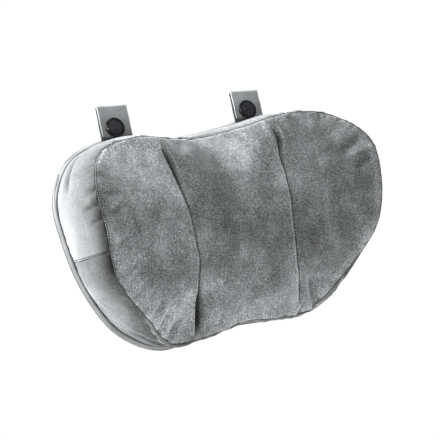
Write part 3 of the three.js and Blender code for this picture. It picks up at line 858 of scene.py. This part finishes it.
def front_cover():
    """The front panel's skin; gives its outer grid and the direction each point stands out in."""
    base = panel_grid()
    x, z = base[..., 0], base[..., 2]
    normals = grid_normals(base, np.array([0, -1, 0]))
    distance, station = nearest(SEAM_LINE, base)
    edge = roll(distance, **PANEL_LIP) + shoulder(distance)
    pucker = puckers(SEAM_ARC[station], distance, PANEL_PUCKERS) * smooth(distance / 3)
    soft = 0.55 * ripple(x, z, 46, 13) + 0.22 * ripple(x, z, 19, 14)
    soft *= smooth(distance / 20)
    detail = sum(fold_height(x, z, *fold) for fold in PANEL_FOLDS)
    slit_shade, painted_highlight = np.zeros(x.shape), np.zeros(x.shape)
    for side, rows, highlight_strength in ((-1, LEFT_DART, 0.25), (1, RIGHT_DART, 0.8)):
        crease, valley, dark, lip_highlight = dart_height(x, z, side, rows)
        detail = detail + crease
        edge = edge + valley
        slit_shade = np.maximum(slit_shade, dark)
        painted_highlight = painted_highlight + highlight_strength * lip_highlight
    detail = detail * smooth(distance / 2.5)
    direction = towards_seam(normals, distance, station)
    outer = base + direction * (edge + pucker + soft + detail)[..., None]
    piece = velvet_sheet("front_cover", outer, direction)
    # Painted shade in the folds, in the darts and along the seam; a painted highlight on the
    # darts' lips.
    seam = bump(distance, 0.8)
    crease_shade = 1 + 0.12 * np.clip(detail + 0.6, -3, 1.2)
    light = crease_shade * painted_pile_light(x, z, np.abs(normals[..., 2]), distance) * (1 + painted_highlight)
    shade = light * (1 - 0.82 * slit_shade) * (1 - 0.2 * seam)
    set_pile(piece, shade, 0.52 * (1 - 0.8 * np.maximum(slit_shade, seam)), 1.0)
    ride_as(piece, "cushion", "velvet", "front_panel")
    return outer, direction


def towards_seam(normals, distance, station):
    """Direction of the relief: the face's own normal, turning to the bisector at the seam."""
    own = smooth(distance / 5)[..., None]
    return unit(normals * own + BISECTOR[station] * (1 - own))


def ride_as(piece, body, slot, *replaced):
    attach(piece, body)
    if replaced:
        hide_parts(*replaced)


# ---------------------------------------------------------------- boxing

BACK_LIP = {"sink": 1.0, "radius": 3.0}
CROSS_LIP = {"sink": 1.1, "radius": 3.0}
FRONT_PUCKERS = [(0.2, 8, 11, 6), (0.3, 16, 21, 14)]
BACK_PUCKERS = [(0.3, 10, 22, 7)]
# Folds of the boxing: a path of u and w, its height and its width in mm.
UPPER_FOLDS = [
    ([(-0.120, 0.55), (-0.165, 0.5), (-0.215, 0.52)], -2.2, 3.6),
    ([(-0.120, 0.7), (-0.165, 0.66), (-0.21, 0.68)], 1.3, 3.4),
    ([(-0.225, 1.2), (-0.225, 0.95), (-0.228, 0.72)], -1.9, 1.9),
    ([(-0.217, 1.2), (-0.217, 0.95), (-0.219, 0.78)], 0.7, 2.4),
    ([(-0.207, 1.2), (-0.207, 0.97), (-0.209, 0.82)], -0.9, 2.0),
    ([(-0.242, 1.2), (-0.241, 0.97), (-0.244, 0.78)], -1.5, 1.9),
]
LOWER_FOLDS = [
    ([(0.6, 0.85), (0.63, 0.55), (0.648, 0.3)], -1.1, 2.6),
    ([(0.615, 0.9), (0.64, 0.62), (0.658, 0.35)], 0.8, 2.6),
    ([(0.67, 0.8), (0.675, 0.5), (0.69, 0.2)], -0.7, 3.2),
]


def boxing_detail(fold_list, around_u, across_w, base):
    """Height of the boxing's folds."""
    width = np.linalg.norm(base[-1] - base[0], axis=-1)
    detail = np.zeros(base.shape[:2])
    for path, height, size in fold_list:
        here = np.interp(np.mean([u for u, _ in path]), around_u[0], width)
        flat_path = [(u * SEAM_LENGTH, w * here) for u, w in path]
        detail += fold_height(around_u * SEAM_LENGTH, across_w * here, flat_path, height, size)
    return detail


def boxing_relief(base, distance, station, from_ends, seed):
    """Height of the boxing's rolled edges, its gathers and its soft unevenness."""
    back_line = back_edge(ROUND, RIM_INSET, -BACK_THICKNESS - GAP)
    from_back, _ = nearest(back_line, base)
    relief = roll(distance, **BOXING_LIP) + shoulder(distance) * smooth(from_back / 12)
    relief += roll(from_back, **BACK_LIP) + roll(from_ends, **CROSS_LIP) * smooth(distance / 4)
    arc = SEAM_ARC[station]
    pucker = puckers(arc, distance, FRONT_PUCKERS) + puckers(arc, from_back, BACK_PUCKERS)
    near_seam = np.minimum(distance, 1.3 * from_back)
    uneven = 0.3 * ripple(base[..., 2], base[..., 1], 40, seed)
    return relief + pucker * smooth(near_seam / 3) + uneven * smooth(near_seam / 12)


def boxing_pile(piece, base, distance, detail, shade_level, contrast):
    """Painted shade: the pile is darker in the folds and, on the lobes, beside the front seam."""
    x, z = base[..., 0], base[..., 2]
    # painted shade where the boxing rolls towards the front seam
    beside = np.exp(-((distance / 14) ** 2)) * smooth((np.abs(x) - 60) / 40)
    beside *= (0.45 + 0.55 * smooth((45 - z) / 30)) * (1 - 0.9 * smooth((-16 - z) / 20))
    # painted shade along the seam's crease
    seam = bump(distance, 0.8)
    crease_shade = 1 + 0.3 * np.clip(detail, -2, 0.4)
    shade = crease_shade * (1 - 0.84 * beside) * shade_level * (1 - 0.3 * seam)
    lustre = 0.6 * shade_level**1.5 * (1 - 0.6 * beside) * (1 - 0.8 * seam)
    set_pile(piece, shade, lustre, contrast)


def boxing_cover(name, node, from_u, to_u, fold_list, seed, shade_level, contrast):
    """One strip of the boxing; gives its outer grid and the direction its points stand out in."""
    start, end = from_u * SEAM_LENGTH, to_u * SEAM_LENGTH
    u = graded(start, end, 1.15, 0.4, 3, [start, end]) / SEAM_LENGTH
    w = graded(0, 60, 1.35, 0.35, 4, [0, 60]) / 60
    around_u, across_w = np.meshgrid(u, w)
    base = boxing_skin(across_w, around_u)
    normals = grid_normals(base, base - np.array([0, -30, 0]))
    distance, station = nearest(SEAM_LINE, base)
    from_ends = np.minimum(around_u - from_u, to_u - around_u) * SEAM_LENGTH
    relief = boxing_relief(base, distance, station, from_ends, seed)
    detail = boxing_detail(fold_list, around_u, across_w, base) * smooth(distance / 1.5)
    direction = towards_seam(normals, distance, station)
    outer = base + direction * (relief + detail)[..., None]
    piece = velvet_sheet(name, outer, direction)
    boxing_pile(piece, base, distance, detail, shade_level, contrast)
    ride_as(piece, "cushion", "velvet", node)
    return outer, direction


# ---------------------------------------------------------------- padded back

RIM_RADIUS = BACK_THICKNESS / 2
RIM_FULLNESS = 0.7  # how far the padded edge swells past its outline
ZIP_Z = -38
ZIP_HALF_HEIGHT = 8
ZIP_HALF_LENGTH = 88
RIM_GROOVE = {"depth": 0.9, "inset": 2.2, "width": 1.4}  # where the boxing is sewn to the back


def back_boundary(from_u, to_u, share):
    return back_edge(even_places(BACK_POINTS, from_u, to_u, share), -RIM_FULLNESS, 0)


def outline_at_zip(side):
    """Place u where the outline passes the zip's height, on the +X side or the -X side."""
    u = np.linspace(0.25, 0.4, 4000)
    z = curve(BACK_POINTS, u)[:, 2]
    found = float(np.interp(ZIP_Z, z[::-1], u[::-1]))
    return found if side > 0 else -found


def zip_opening(x):
    """1 along the zip, and 0 past its ends, where the back's two parts are sewn together."""
    return smooth((ZIP_HALF_LENGTH + 1 - np.abs(x)) / 6)


def zip_edge(x, side):
    """Height of a back panel's edge at the zip: open along the zip and closed past its ends."""
    opening = zip_opening(x)
    return ZIP_Z + side * (GAP / 2 + (ZIP_HALF_HEIGHT - GAP / 2) * opening)


def back_grid(side):
    """Flat grid over one part of the back, with its edge lines at the zip and at the rim."""
    across = graded(0, 220, 1.5, 0.4, 3, [0, 220, 24, 196]) / 220
    up = graded(0, 100, 1.5, 0.3, 3, [0, 100]) / 100
    low, high = outline_at_zip(1), outline_at_zip(-1)
    start, end = (back_edge(u, -RIM_FULLNESS, 0) for u in (high, low))
    x = start[0] + (end[0] - start[0]) * across
    seam = np.stack([x, 0 * x, zip_edge(x, side)], -1)
    seam[[0, -1], 2] = ZIP_Z + side * GAP / 2
    corner, turn = (0.16, 0) if side > 0 else (0.42, 1)
    far = back_boundary(turn - corner, corner, across)
    left, right = back_boundary(high + turn, turn - corner, up), back_boundary(low, corner, up)
    left[0], right[0] = seam[0], seam[-1]
    rim = np.vstack([right, far[::-1], left[::-1]])
    return coons(seam, far, left, right, across, up), seam, rim


def back_cover(name, node, side):
    """The padded back above the zip (side 1) or below it (side -1)."""
    flat, seam, rim = back_grid(side)
    x, z = flat[..., 0], flat[..., 2]
    from_rim, _ = nearest(rim, flat)
    from_zip, _ = nearest(seam, flat)
    distance = np.minimum(from_rim, from_zip)
    sink = 0.5 + (RIM_RADIUS - 0.55) * zip_opening(x)
    depth = RIM_RADIUS + np.minimum(roll(from_rim, RIM_RADIUS - 0.05, RIM_RADIUS),
                                    roll(from_zip, sink, RIM_RADIUS))
    quilt = 0.3 * ripple(x, z, 48, 31) * smooth(distance / 15)
    tuck = 0.12 * ripple(x, z, 12, 32) * np.exp(-distance / 9)
    outer, inner = flat.copy(), flat.copy()
    outer[..., 1] = -RIM_RADIUS + depth + (quilt + tuck) * smooth(distance / 4) - 0.5
    groove = RIM_GROOVE["depth"] * bump(from_rim - RIM_GROOVE["inset"], RIM_GROOVE["width"])
    inner[..., 1] = -RIM_RADIUS - depth - groove
    points, faces = closed_sheet(outer, inner)
    piece = new_piece(name, points, faces, BACKING)
    set_value(piece, "shade", np.ones(len(points)))
    ride_as(piece, "cushion", "backing", node)


# ---------------------------------------------------------------- core


def ring_normals(skin):
    """Normals of a grid that closes on itself across its columns, eased over its seam row."""
    down = np.gradient(skin, axis=0)
    across = np.roll(skin, -1, axis=1) - np.roll(skin, 1, axis=1)
    normals = unit(np.cross(down, across))
    normals *= np.sign(np.sum(normals * (skin - np.array([0, -34, 0])), -1))[..., None]
    for _ in range(12):
        padded = np.concatenate([normals[:1], normals, normals[-1:]])
        normals = unit(padded[:-2] + normals + padded[2:])
    return normals


def core_skin():
    """The cushion's skin as rings from the back's edge over the seam to the front's middle."""
    u = np.arange(280) / 280
    around_u, across_w = np.meshgrid(u, np.linspace(0, 1, 26))
    reach = np.linspace(1, 0.02, 60)[1:, None]
    seam = curve(SEAM_POINTS, u)
    x = seam[:, 0] * reach
    z = CENTRE_Z + (seam[:, 2] - CENTRE_Z) * reach
    return np.vstack([boxing_skin(across_w, around_u), panel_skin(x, z)])


CORE_PARTS = (  # name, slot, material, node it stands for and how far inside the skin it lies
    ("foam_block", "foam", FOAM, "foam_core", 6.5),
    ("inner_cover", "liner", LINER, "inner_cover_front", 5.0),
)
DART_ROOM = {"depth": 5, "width": 10}  # how much further inside it lies under a dart
CORE_BACK = -(BACK_THICKNESS + 1.4)


def core():
    """Foam block and its inner cover, set back further under the darts."""
    skin = core_skin()
    normals = ring_normals(skin)
    x, y, z = np.moveaxis(skin, -1, 0)
    darts = bump(np.abs(x) - dart_x(z, np.sign(x)), DART_ROOM["width"])
    under_darts = DART_ROOM["depth"] * darts * smooth((-y - 20) / 20)
    for name, slot, material, node, inset in CORE_PARTS:
        shrunk = skin - normals * (inset + under_darts)[..., None]
        shrunk[0, :, 1] = CORE_BACK
        rows, columns = shrunk.shape[:2]
        points = np.vstack([shrunk.reshape(-1, 3), [[0, CORE_BACK, 0]], [shrunk[-1].mean(0)]])
        faces = grid_quads(rows, columns, wrap=True).tolist() + end_fans(rows, columns)
        piece = new_piece(name, points, faces, material)
        ride_as(piece, "cushion", slot, node)


# ---------------------------------------------------------------- straps and press studs

STRAP = {"width": 25, "thickness": 1.2, "pitch": 4.0, "fold_z": {"left": 23.3, "right": 21.6},
         "rear_end": -1.6, "front_end": -0.6, "tilt": math.radians(-5), "lean": math.radians(4.5),
         "snap_z": 7.1}
STRAP_STEP = 0.9  # distance between the band's cross-sections
SEWN_AT = {"left": (-0.6, 0, 1.4), "right": (-1.4, 0, -0.4)}  # each strap's shift, mm


def strap_place(side, points):
    """Moves points from a strap's own frame, with its seam hinge at 0, to where it is sewn."""
    hinge = np.array(JOINTS[f"{side}_strap_seam"]["pos_m"]) / MM
    lean = Matrix.Rotation(STRAP["lean"], 3, "Y")
    turn = np.array(lean @ Matrix.Rotation(STRAP["tilt"], 3, "X"))
    return np.asarray(points) @ turn.T + hinge + SEWN_AT[side]


def strap_path(side):
    """Middle line of the folded band: up the rear leg, over the fold and down the front leg."""
    radius = STRAP["pitch"] / 2
    top = STRAP["fold_z"][side]
    rear = [(0, z) for z in np.arange(STRAP["rear_end"], top, STRAP_STEP)]
    angle = np.radians(np.arange(0, 181, 12))
    fold = [(radius * (math.cos(a) - 1), top + radius * math.sin(a)) for a in angle]
    front_z = np.arange(top - STRAP_STEP, STRAP["front_end"] - 0.01, -STRAP_STEP)
    front = [(-STRAP["pitch"], z) for z in front_z]
    return np.array(rear + fold + front)


def strap_section():
    """Outline of the band across its width, with rounded edges: x and thickness."""
    half_width, half_thick, edge = STRAP["width"] / 2, STRAP["thickness"] / 2, 0.5
    flat = np.linspace(-1, 1, 15)[1:-1] * (half_width - edge)
    turn = np.radians(np.arange(-90, 91, 30))
    section = [(x, half_thick) for x in flat[::-1]]
    section += [(-half_width + edge - edge * math.cos(a), -half_thick * math.sin(a)) for a in turn]
    section += [(x, -half_thick) for x in flat]
    section += [(half_width - edge + edge * math.cos(a), half_thick * math.sin(a)) for a in turn]
    return np.array(section).T


def strap_band(side):
    """The folded band of one strap; its middle bows a little and its ends are thin."""
    path = strap_path(side)
    tangent = unit(np.gradient(path, axis=0))
    normal = np.stack([-tangent[:, 1], tangent[:, 0]], -1)
    x, thick = strap_section()
    rings = []
    for i, ((y, z), out) in enumerate(zip(path, normal)):
        bow = 0.18 * math.sin(0.45 * i) * (x / (STRAP["width"] / 2)) ** 2
        end = 0.35 if i in (0, len(path) - 1) else 1
        lift = thick * end + bow
        rings.append(np.stack([x, y + out[0] * lift, z + out[1] * lift], -1))
    rings = np.array(rings)
    rows, columns = rings.shape[:2]
    last = (rows - 1) * columns
    ends = [list(range(columns)), list(range(last, last + columns))[::-1]]
    faces = grid_quads(rows, columns, wrap=True).tolist() + ends
    points = strap_place(side, rings.reshape(-1, 3))
    band = new_piece(f"{side}_strap_band", points, faces, STRAP_FABRIC)
    fold_z = STRAP["fold_z"][side]
    # Painted light and shade: the band is lighter at its fold and darker low down, where the
    # cushion shades it.
    set_value(band, "shade", 0.62 + 0.6 * smooth(np.repeat(path[:, 1], columns) / fold_z))
    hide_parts(f"{side}_strap_rear", f"{side}_strap_front")
    start, end = (strap_place(side, (0, y, fold_z)) * MM for y in (-1.2, -3.2))
    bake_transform(band)


SNAP_OFFSET = -1.0  # the studs sit a little off the strap's middle line
STUD_SIDES = 48
STUD_ROUNDING = 0.25
CAP_PAINTED_SHEEN = {"factor": 4, "radius": 6.2, "fade": 1.5}  # painted sheen: the cap's middle is painted greyer than its rim


def lathe(name, side, profile, material):
    """Turns a radius and depth profile about a press stud's axis."""
    angle = np.arange(STUD_SIDES) * 2 * math.pi / STUD_SIDES
    rings = [
        np.stack([max(r, 0.02) * np.cos(angle), np.full(STUD_SIDES, float(y)),
                  STRAP["snap_z"] + max(r, 0.02) * np.sin(angle)], -1)
        for r, y in profile
    ]
    points = np.array(rings).reshape(-1, 3) + [SNAP_OFFSET, 0, 0]
    faces = grid_quads(len(profile), STUD_SIDES, wrap=True)
    return new_piece(name, strap_place(side, points), facing_out(points, faces), material)


def rounded(profile, radius, steps=4):
    """The profile with each inner corner cut round."""
    profile = [np.array(point, float) for point in profile]
    result = [profile[0]]
    for before, corner, after in zip(profile, profile[1:], profile[2:]):
        into, out = before - corner, after - corner
        reach = min(radius, np.linalg.norm(into) * 0.45, np.linalg.norm(out) * 0.45)
        start, end = corner + unit(into) * reach, corner + unit(out) * reach
        for t in np.linspace(0, 1, steps):
            result.append((1 - t) ** 2 * start + 2 * t * (1 - t) * corner + t * t * end)
    return result + [profile[-1]]


def stud_profiles():
    """Radius and depth profiles of a press stud's parts, from the strap's middle plane."""
    half = STRAP["thickness"] / 2
    front = -STRAP["pitch"] - half
    inner = -STRAP["pitch"] + half
    dome = [(7.0 * math.cos(a), front - 0.85 - 1.1 * math.sin(a))
            for a in np.radians(np.arange(12, 91, 6))]
    return {
        "cap": [(0, inner), (1.5, inner), (1.5, front - 0.05), (7.6, front - 0.05),
                (7.9, front - 0.4), (7.7, front - 0.85), (7.2, front - 0.95)] + dome,
        "socket": [(0, inner + 0.3), (5.2, inner + 0.3), (5.5, inner + 0.6),
                   (5.2, inner + 1.8), (2.9, inner + 1.8), (2.9, inner + 0.6), (0, inner + 0.6)],
        "stud": [(0, -0.95), (4.8, -0.95), (4.8, -1.3), (2.0, -1.3), (2.2, -2.05),
                 (1.8, -2.45), (0, -2.45)],
        "post": [(0, -0.5), (1.5, -0.5), (1.5, 0.9), (4.8, 0.9), (4.8, 1.3), (0, 1.5)],
    }


def press_stud(side):
    """The cap and socket ride on the front leg, and the stud and its post on the rear leg."""
    flap, rear = f"{side}_strap_flap", f"{side}_strap"
    parts = {
        "cap": (ENAMEL, "snap_cap", flap), "socket": (NICKEL, "snap_metal", flap),
        "stud": (NICKEL, "snap_metal", rear), "post": (NICKEL, "snap_metal", rear),
    }
    for part, profile in stud_profiles().items():
        material, slot, body = parts[part]
        profile = rounded(profile, STUD_ROUNDING)
        piece = lathe(f"{side}_stud_{part}", side, profile, material)
        ride_as(piece, body, slot, f"{side}_snap_{part}")
        if part == "cap":
            # Painted sheen: the cap's middle is painted greyer than its rim.
            radius = np.array(profile)[:, 0]
            sheen_spot = smooth((CAP_PAINTED_SHEEN["radius"] - radius) / CAP_PAINTED_SHEEN["fade"])
            set_value(piece, "shade", np.repeat(1 + CAP_PAINTED_SHEEN["factor"] * sheen_spot, STUD_SIDES))


# ---------------------------------------------------------------- zip

COIL_PITCH = 1.25
WIRE_RADIUS = 0.26
TURN = {"half_depth": 0.72, "half_width": 0.62, "offset": 0.42}  # one turn of a coil
COIL_END_ROOM = 0.3  # the coils stop this far inside the ends of the bar they stand for


def zip_coil():
    """Two interlocked coils of bent nylon wire, one sewn to each tape."""
    low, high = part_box("zip_coil")
    start, end = low.x / MM + COIL_END_ROOM, high.x / MM - COIL_END_ROOM
    middle = (low + high) / 2 / MM
    turns = np.arange(0, (end - start) / COIL_PITCH, 1 / 12)
    angle = 2 * math.pi * turns
    flatten = np.sign(np.cos(angle)) * np.abs(np.cos(angle)) ** 0.8
    parts = []
    for side, lag in ((-1, 0), (1, 0.5)):
        x = start + COIL_PITCH * (turns + lag)
        y = middle.y + TURN["half_depth"] * np.sin(angle)
        z = middle.z + side * TURN["offset"] + TURN["half_width"] * flatten
        path = np.stack([x, y, z], -1)
        parts.append(tube(path[x < end], WIRE_RADIUS, 6))
    piece = new_piece("zip_coils", *merged(parts), COIL)
    ride_as(piece, "cushion", "zip_coil", "zip_coil")


def finish_node(node, material, bevel_mm=0.0):
    """Gives a CAD node that stays its material, and rounds its edges."""
    piece = frame["nodes"][node]
    piece.data.materials.clear()
    piece.data.materials.append(material)
    if bevel_mm:
        bevel = piece.modifiers.new("edges", "BEVEL")
        bevel.width = bevel_mm * MM
        bevel.segments = 3
        bevel.limit_method = "ANGLE"
        bevel.harden_normals = True


def finish_nodes():
    for node in ("zip_tape_upper", "zip_tape_lower"):
        finish_node(node, TAPE, 0.1)
    for node in ("zip_top_stop", "zip_bottom_stop"):
        finish_node(node, ZINC, 0.35)
    finish_node("zip_slider", ZINC, 0.2)
    finish_node("zip_pull", ZINC, 0.22)
    finish_node("inner_cover_back", LINER)
    for side in ("left", "right"):
        finish_node(f"{side}_strap_tail", TAIL_FABRIC, 0.2)


# ---------------------------------------------------------------- stitching

STITCH_LENGTH = 1.15
STITCH_GAP = 0.75
SEAM_STITCH_INSET = 0.9  # the front seam's stitches lie this far inside it


def sew(name, path, up, length=STITCH_LENGTH, gap=STITCH_GAP, width=1.0, height=0.7):
    piece = new_piece(name, *stitches(path, up, length, gap, width, height), THREAD)
    ride_as(piece, "cushion", "velvet")


def sew_front_seam():
    radius = np.hypot(SEAM_LINE[:, 0], SEAM_LINE[:, 2] - CENTRE_Z)
    share = 1 - SEAM_STITCH_INSET / radius
    beside = panel_skin(SEAM_LINE[:, 0] * share, CENTRE_Z + (SEAM_LINE[:, 2] - CENTRE_Z) * share)
    lip = roll(SEAM_STITCH_INSET, **PANEL_LIP) + SHOULDER["height"]
    line = beside + BISECTOR * (lip + 0.15)
    rise = unit(BISECTOR + np.array([0, -0.6, 0]))
    sew("front_seam_stitches", *(np.vstack([a, a[:1]]) for a in (line, rise)))


def sew_darts(panel, panel_up):
    for side, name, top, bottom in ((-1, "left", 40, -44), (1, "right", 46, -60)):
        from_dart = panel[..., 0] - side * dart_x(panel[..., 2], side)
        column = np.argmin(np.abs(from_dart - 0.8), axis=1)
        row = np.arange(len(column))
        line, rise = panel[row, column], panel_up[row, column]
        keep = (line[:, 2] < top) & (line[:, 2] > bottom)
        sew(f"{name}_dart_stitches", line[keep] + rise[keep] * 0.15, rise[keep],
            width=0.8, height=0.6)


def sew_cross_seams(upper, upper_up):
    for name, column in (("left", 3), ("right", -4)):
        line, rise = upper[3:-3, column], upper_up[3:-3, column]
        sew(f"{name}_cross_stitches", line + rise * 0.1, rise, 2.0, 1.1, 0.6, 0.5)


# ---------------------------------------------------------------- stage and light

FLOOR_DROP = 300
FLOOR_RADIUS = 1000
AMBIENT = 0.22  # strength of the white surroundings on the object
BACKDROP = 1.05  # and as the camera sees them
LIGHTS = (  # name, direction, distance and size in m, power, seen in gloss, lights plain faces
    ("key", (-1.0, 0.3, 0.8), 1.3, 0.6, 95, True, True),
    ("front_fill", (0.45, -1.0, 1.0), 1.6, 0.9, 17, False, True),
    ("spark", (-0.45, -1.0, 0.42), 1.5, 0.2, 9, True, False),
    ("top", (-0.1, -0.1, 1.0), 1.2, 0.8, 8, True, True),
)


def make_stage():
    floor_z = cad_box[0][2] - FLOOR_DROP * MM
    bpy.ops.mesh.primitive_circle_add(
        vertices=128, radius=FLOOR_RADIUS * MM, fill_type="NGON", location=(0, 0, floor_z)
    )
    floor = bpy.context.object
    floor.name = "floor"
    floor.data.materials.append(
        node_material("floor", (0.86, 0.86, 0.86), 0.9, Specular_IOR_Level=0.1)
    )


def make_world():
    """White all round; the camera sees it at full strength and the object a part of it."""
    world = bpy.data.worlds.new("studio")
    bpy.context.scene.world = world
    world.use_nodes = True
    tree = world.node_tree
    background = tree.nodes["Background"]
    background.inputs["Color"].default_value = (1, 1, 1, 1)
    path = tree.nodes.new("ShaderNodeLightPath")
    strength = tree.nodes.new("ShaderNodeMapRange")
    strength.inputs["To Min"].default_value = AMBIENT
    strength.inputs["To Max"].default_value = BACKDROP
    tree.links.new(path.outputs["Is Camera Ray"], strength.inputs["Value"])
    tree.links.new(strength.outputs["Result"], background.inputs["Strength"])


def area_light(name, direction, distance, size, power, glossy, diffuse):
    data = bpy.data.lights.new(name, "AREA")
    data.shape = "DISK"
    data.size = size
    data.energy = power
    lamp = bpy.data.objects.new(name, data)
    lamp.visible_glossy = glossy
    lamp.visible_diffuse = diffuse
    bpy.context.scene.collection.objects.link(lamp)
    away = Vector(direction).normalized()
    lamp.location = Vector(CAMERA_TARGET) * MM + away * distance
    lamp.rotation_euler = away.to_track_quat("Z", "Y").to_euler()


def make_lights():
    for light in LIGHTS:
        area_light(*light)
    bpy.context.scene.view_settings.view_transform = "Standard"


# ---------------------------------------------------------------- assembly

make_world()
make_stage()
make_lights()
panel, panel_up = front_cover()
# Last two numbers of each strip: its painted shade and how mottled it is; the lower strip is
# painted darker.
upper, upper_up = boxing_cover("boxing_upper_cover", "boxing_upper",
                               -CROSS_SEAM_AT, CROSS_SEAM_AT, UPPER_FOLDS, 29, 1.0, 0.5)
boxing_cover("boxing_lower_cover", "boxing_lower",
             CROSS_SEAM_AT, 1 - CROSS_SEAM_AT, LOWER_FOLDS, 26, 0.6, 0.8)
back_cover("back_cover_upper", "back_panel_upper", 1)
back_cover("back_cover_lower", "back_panel_lower", -1)
core()
for strap_side in ("left", "right"):
    strap_band(strap_side)
    press_stud(strap_side)
zip_coil()
finish_nodes()
sew_front_seam()
sew_darts(panel, panel_up)
sew_cross_seams(upper, upper_up)
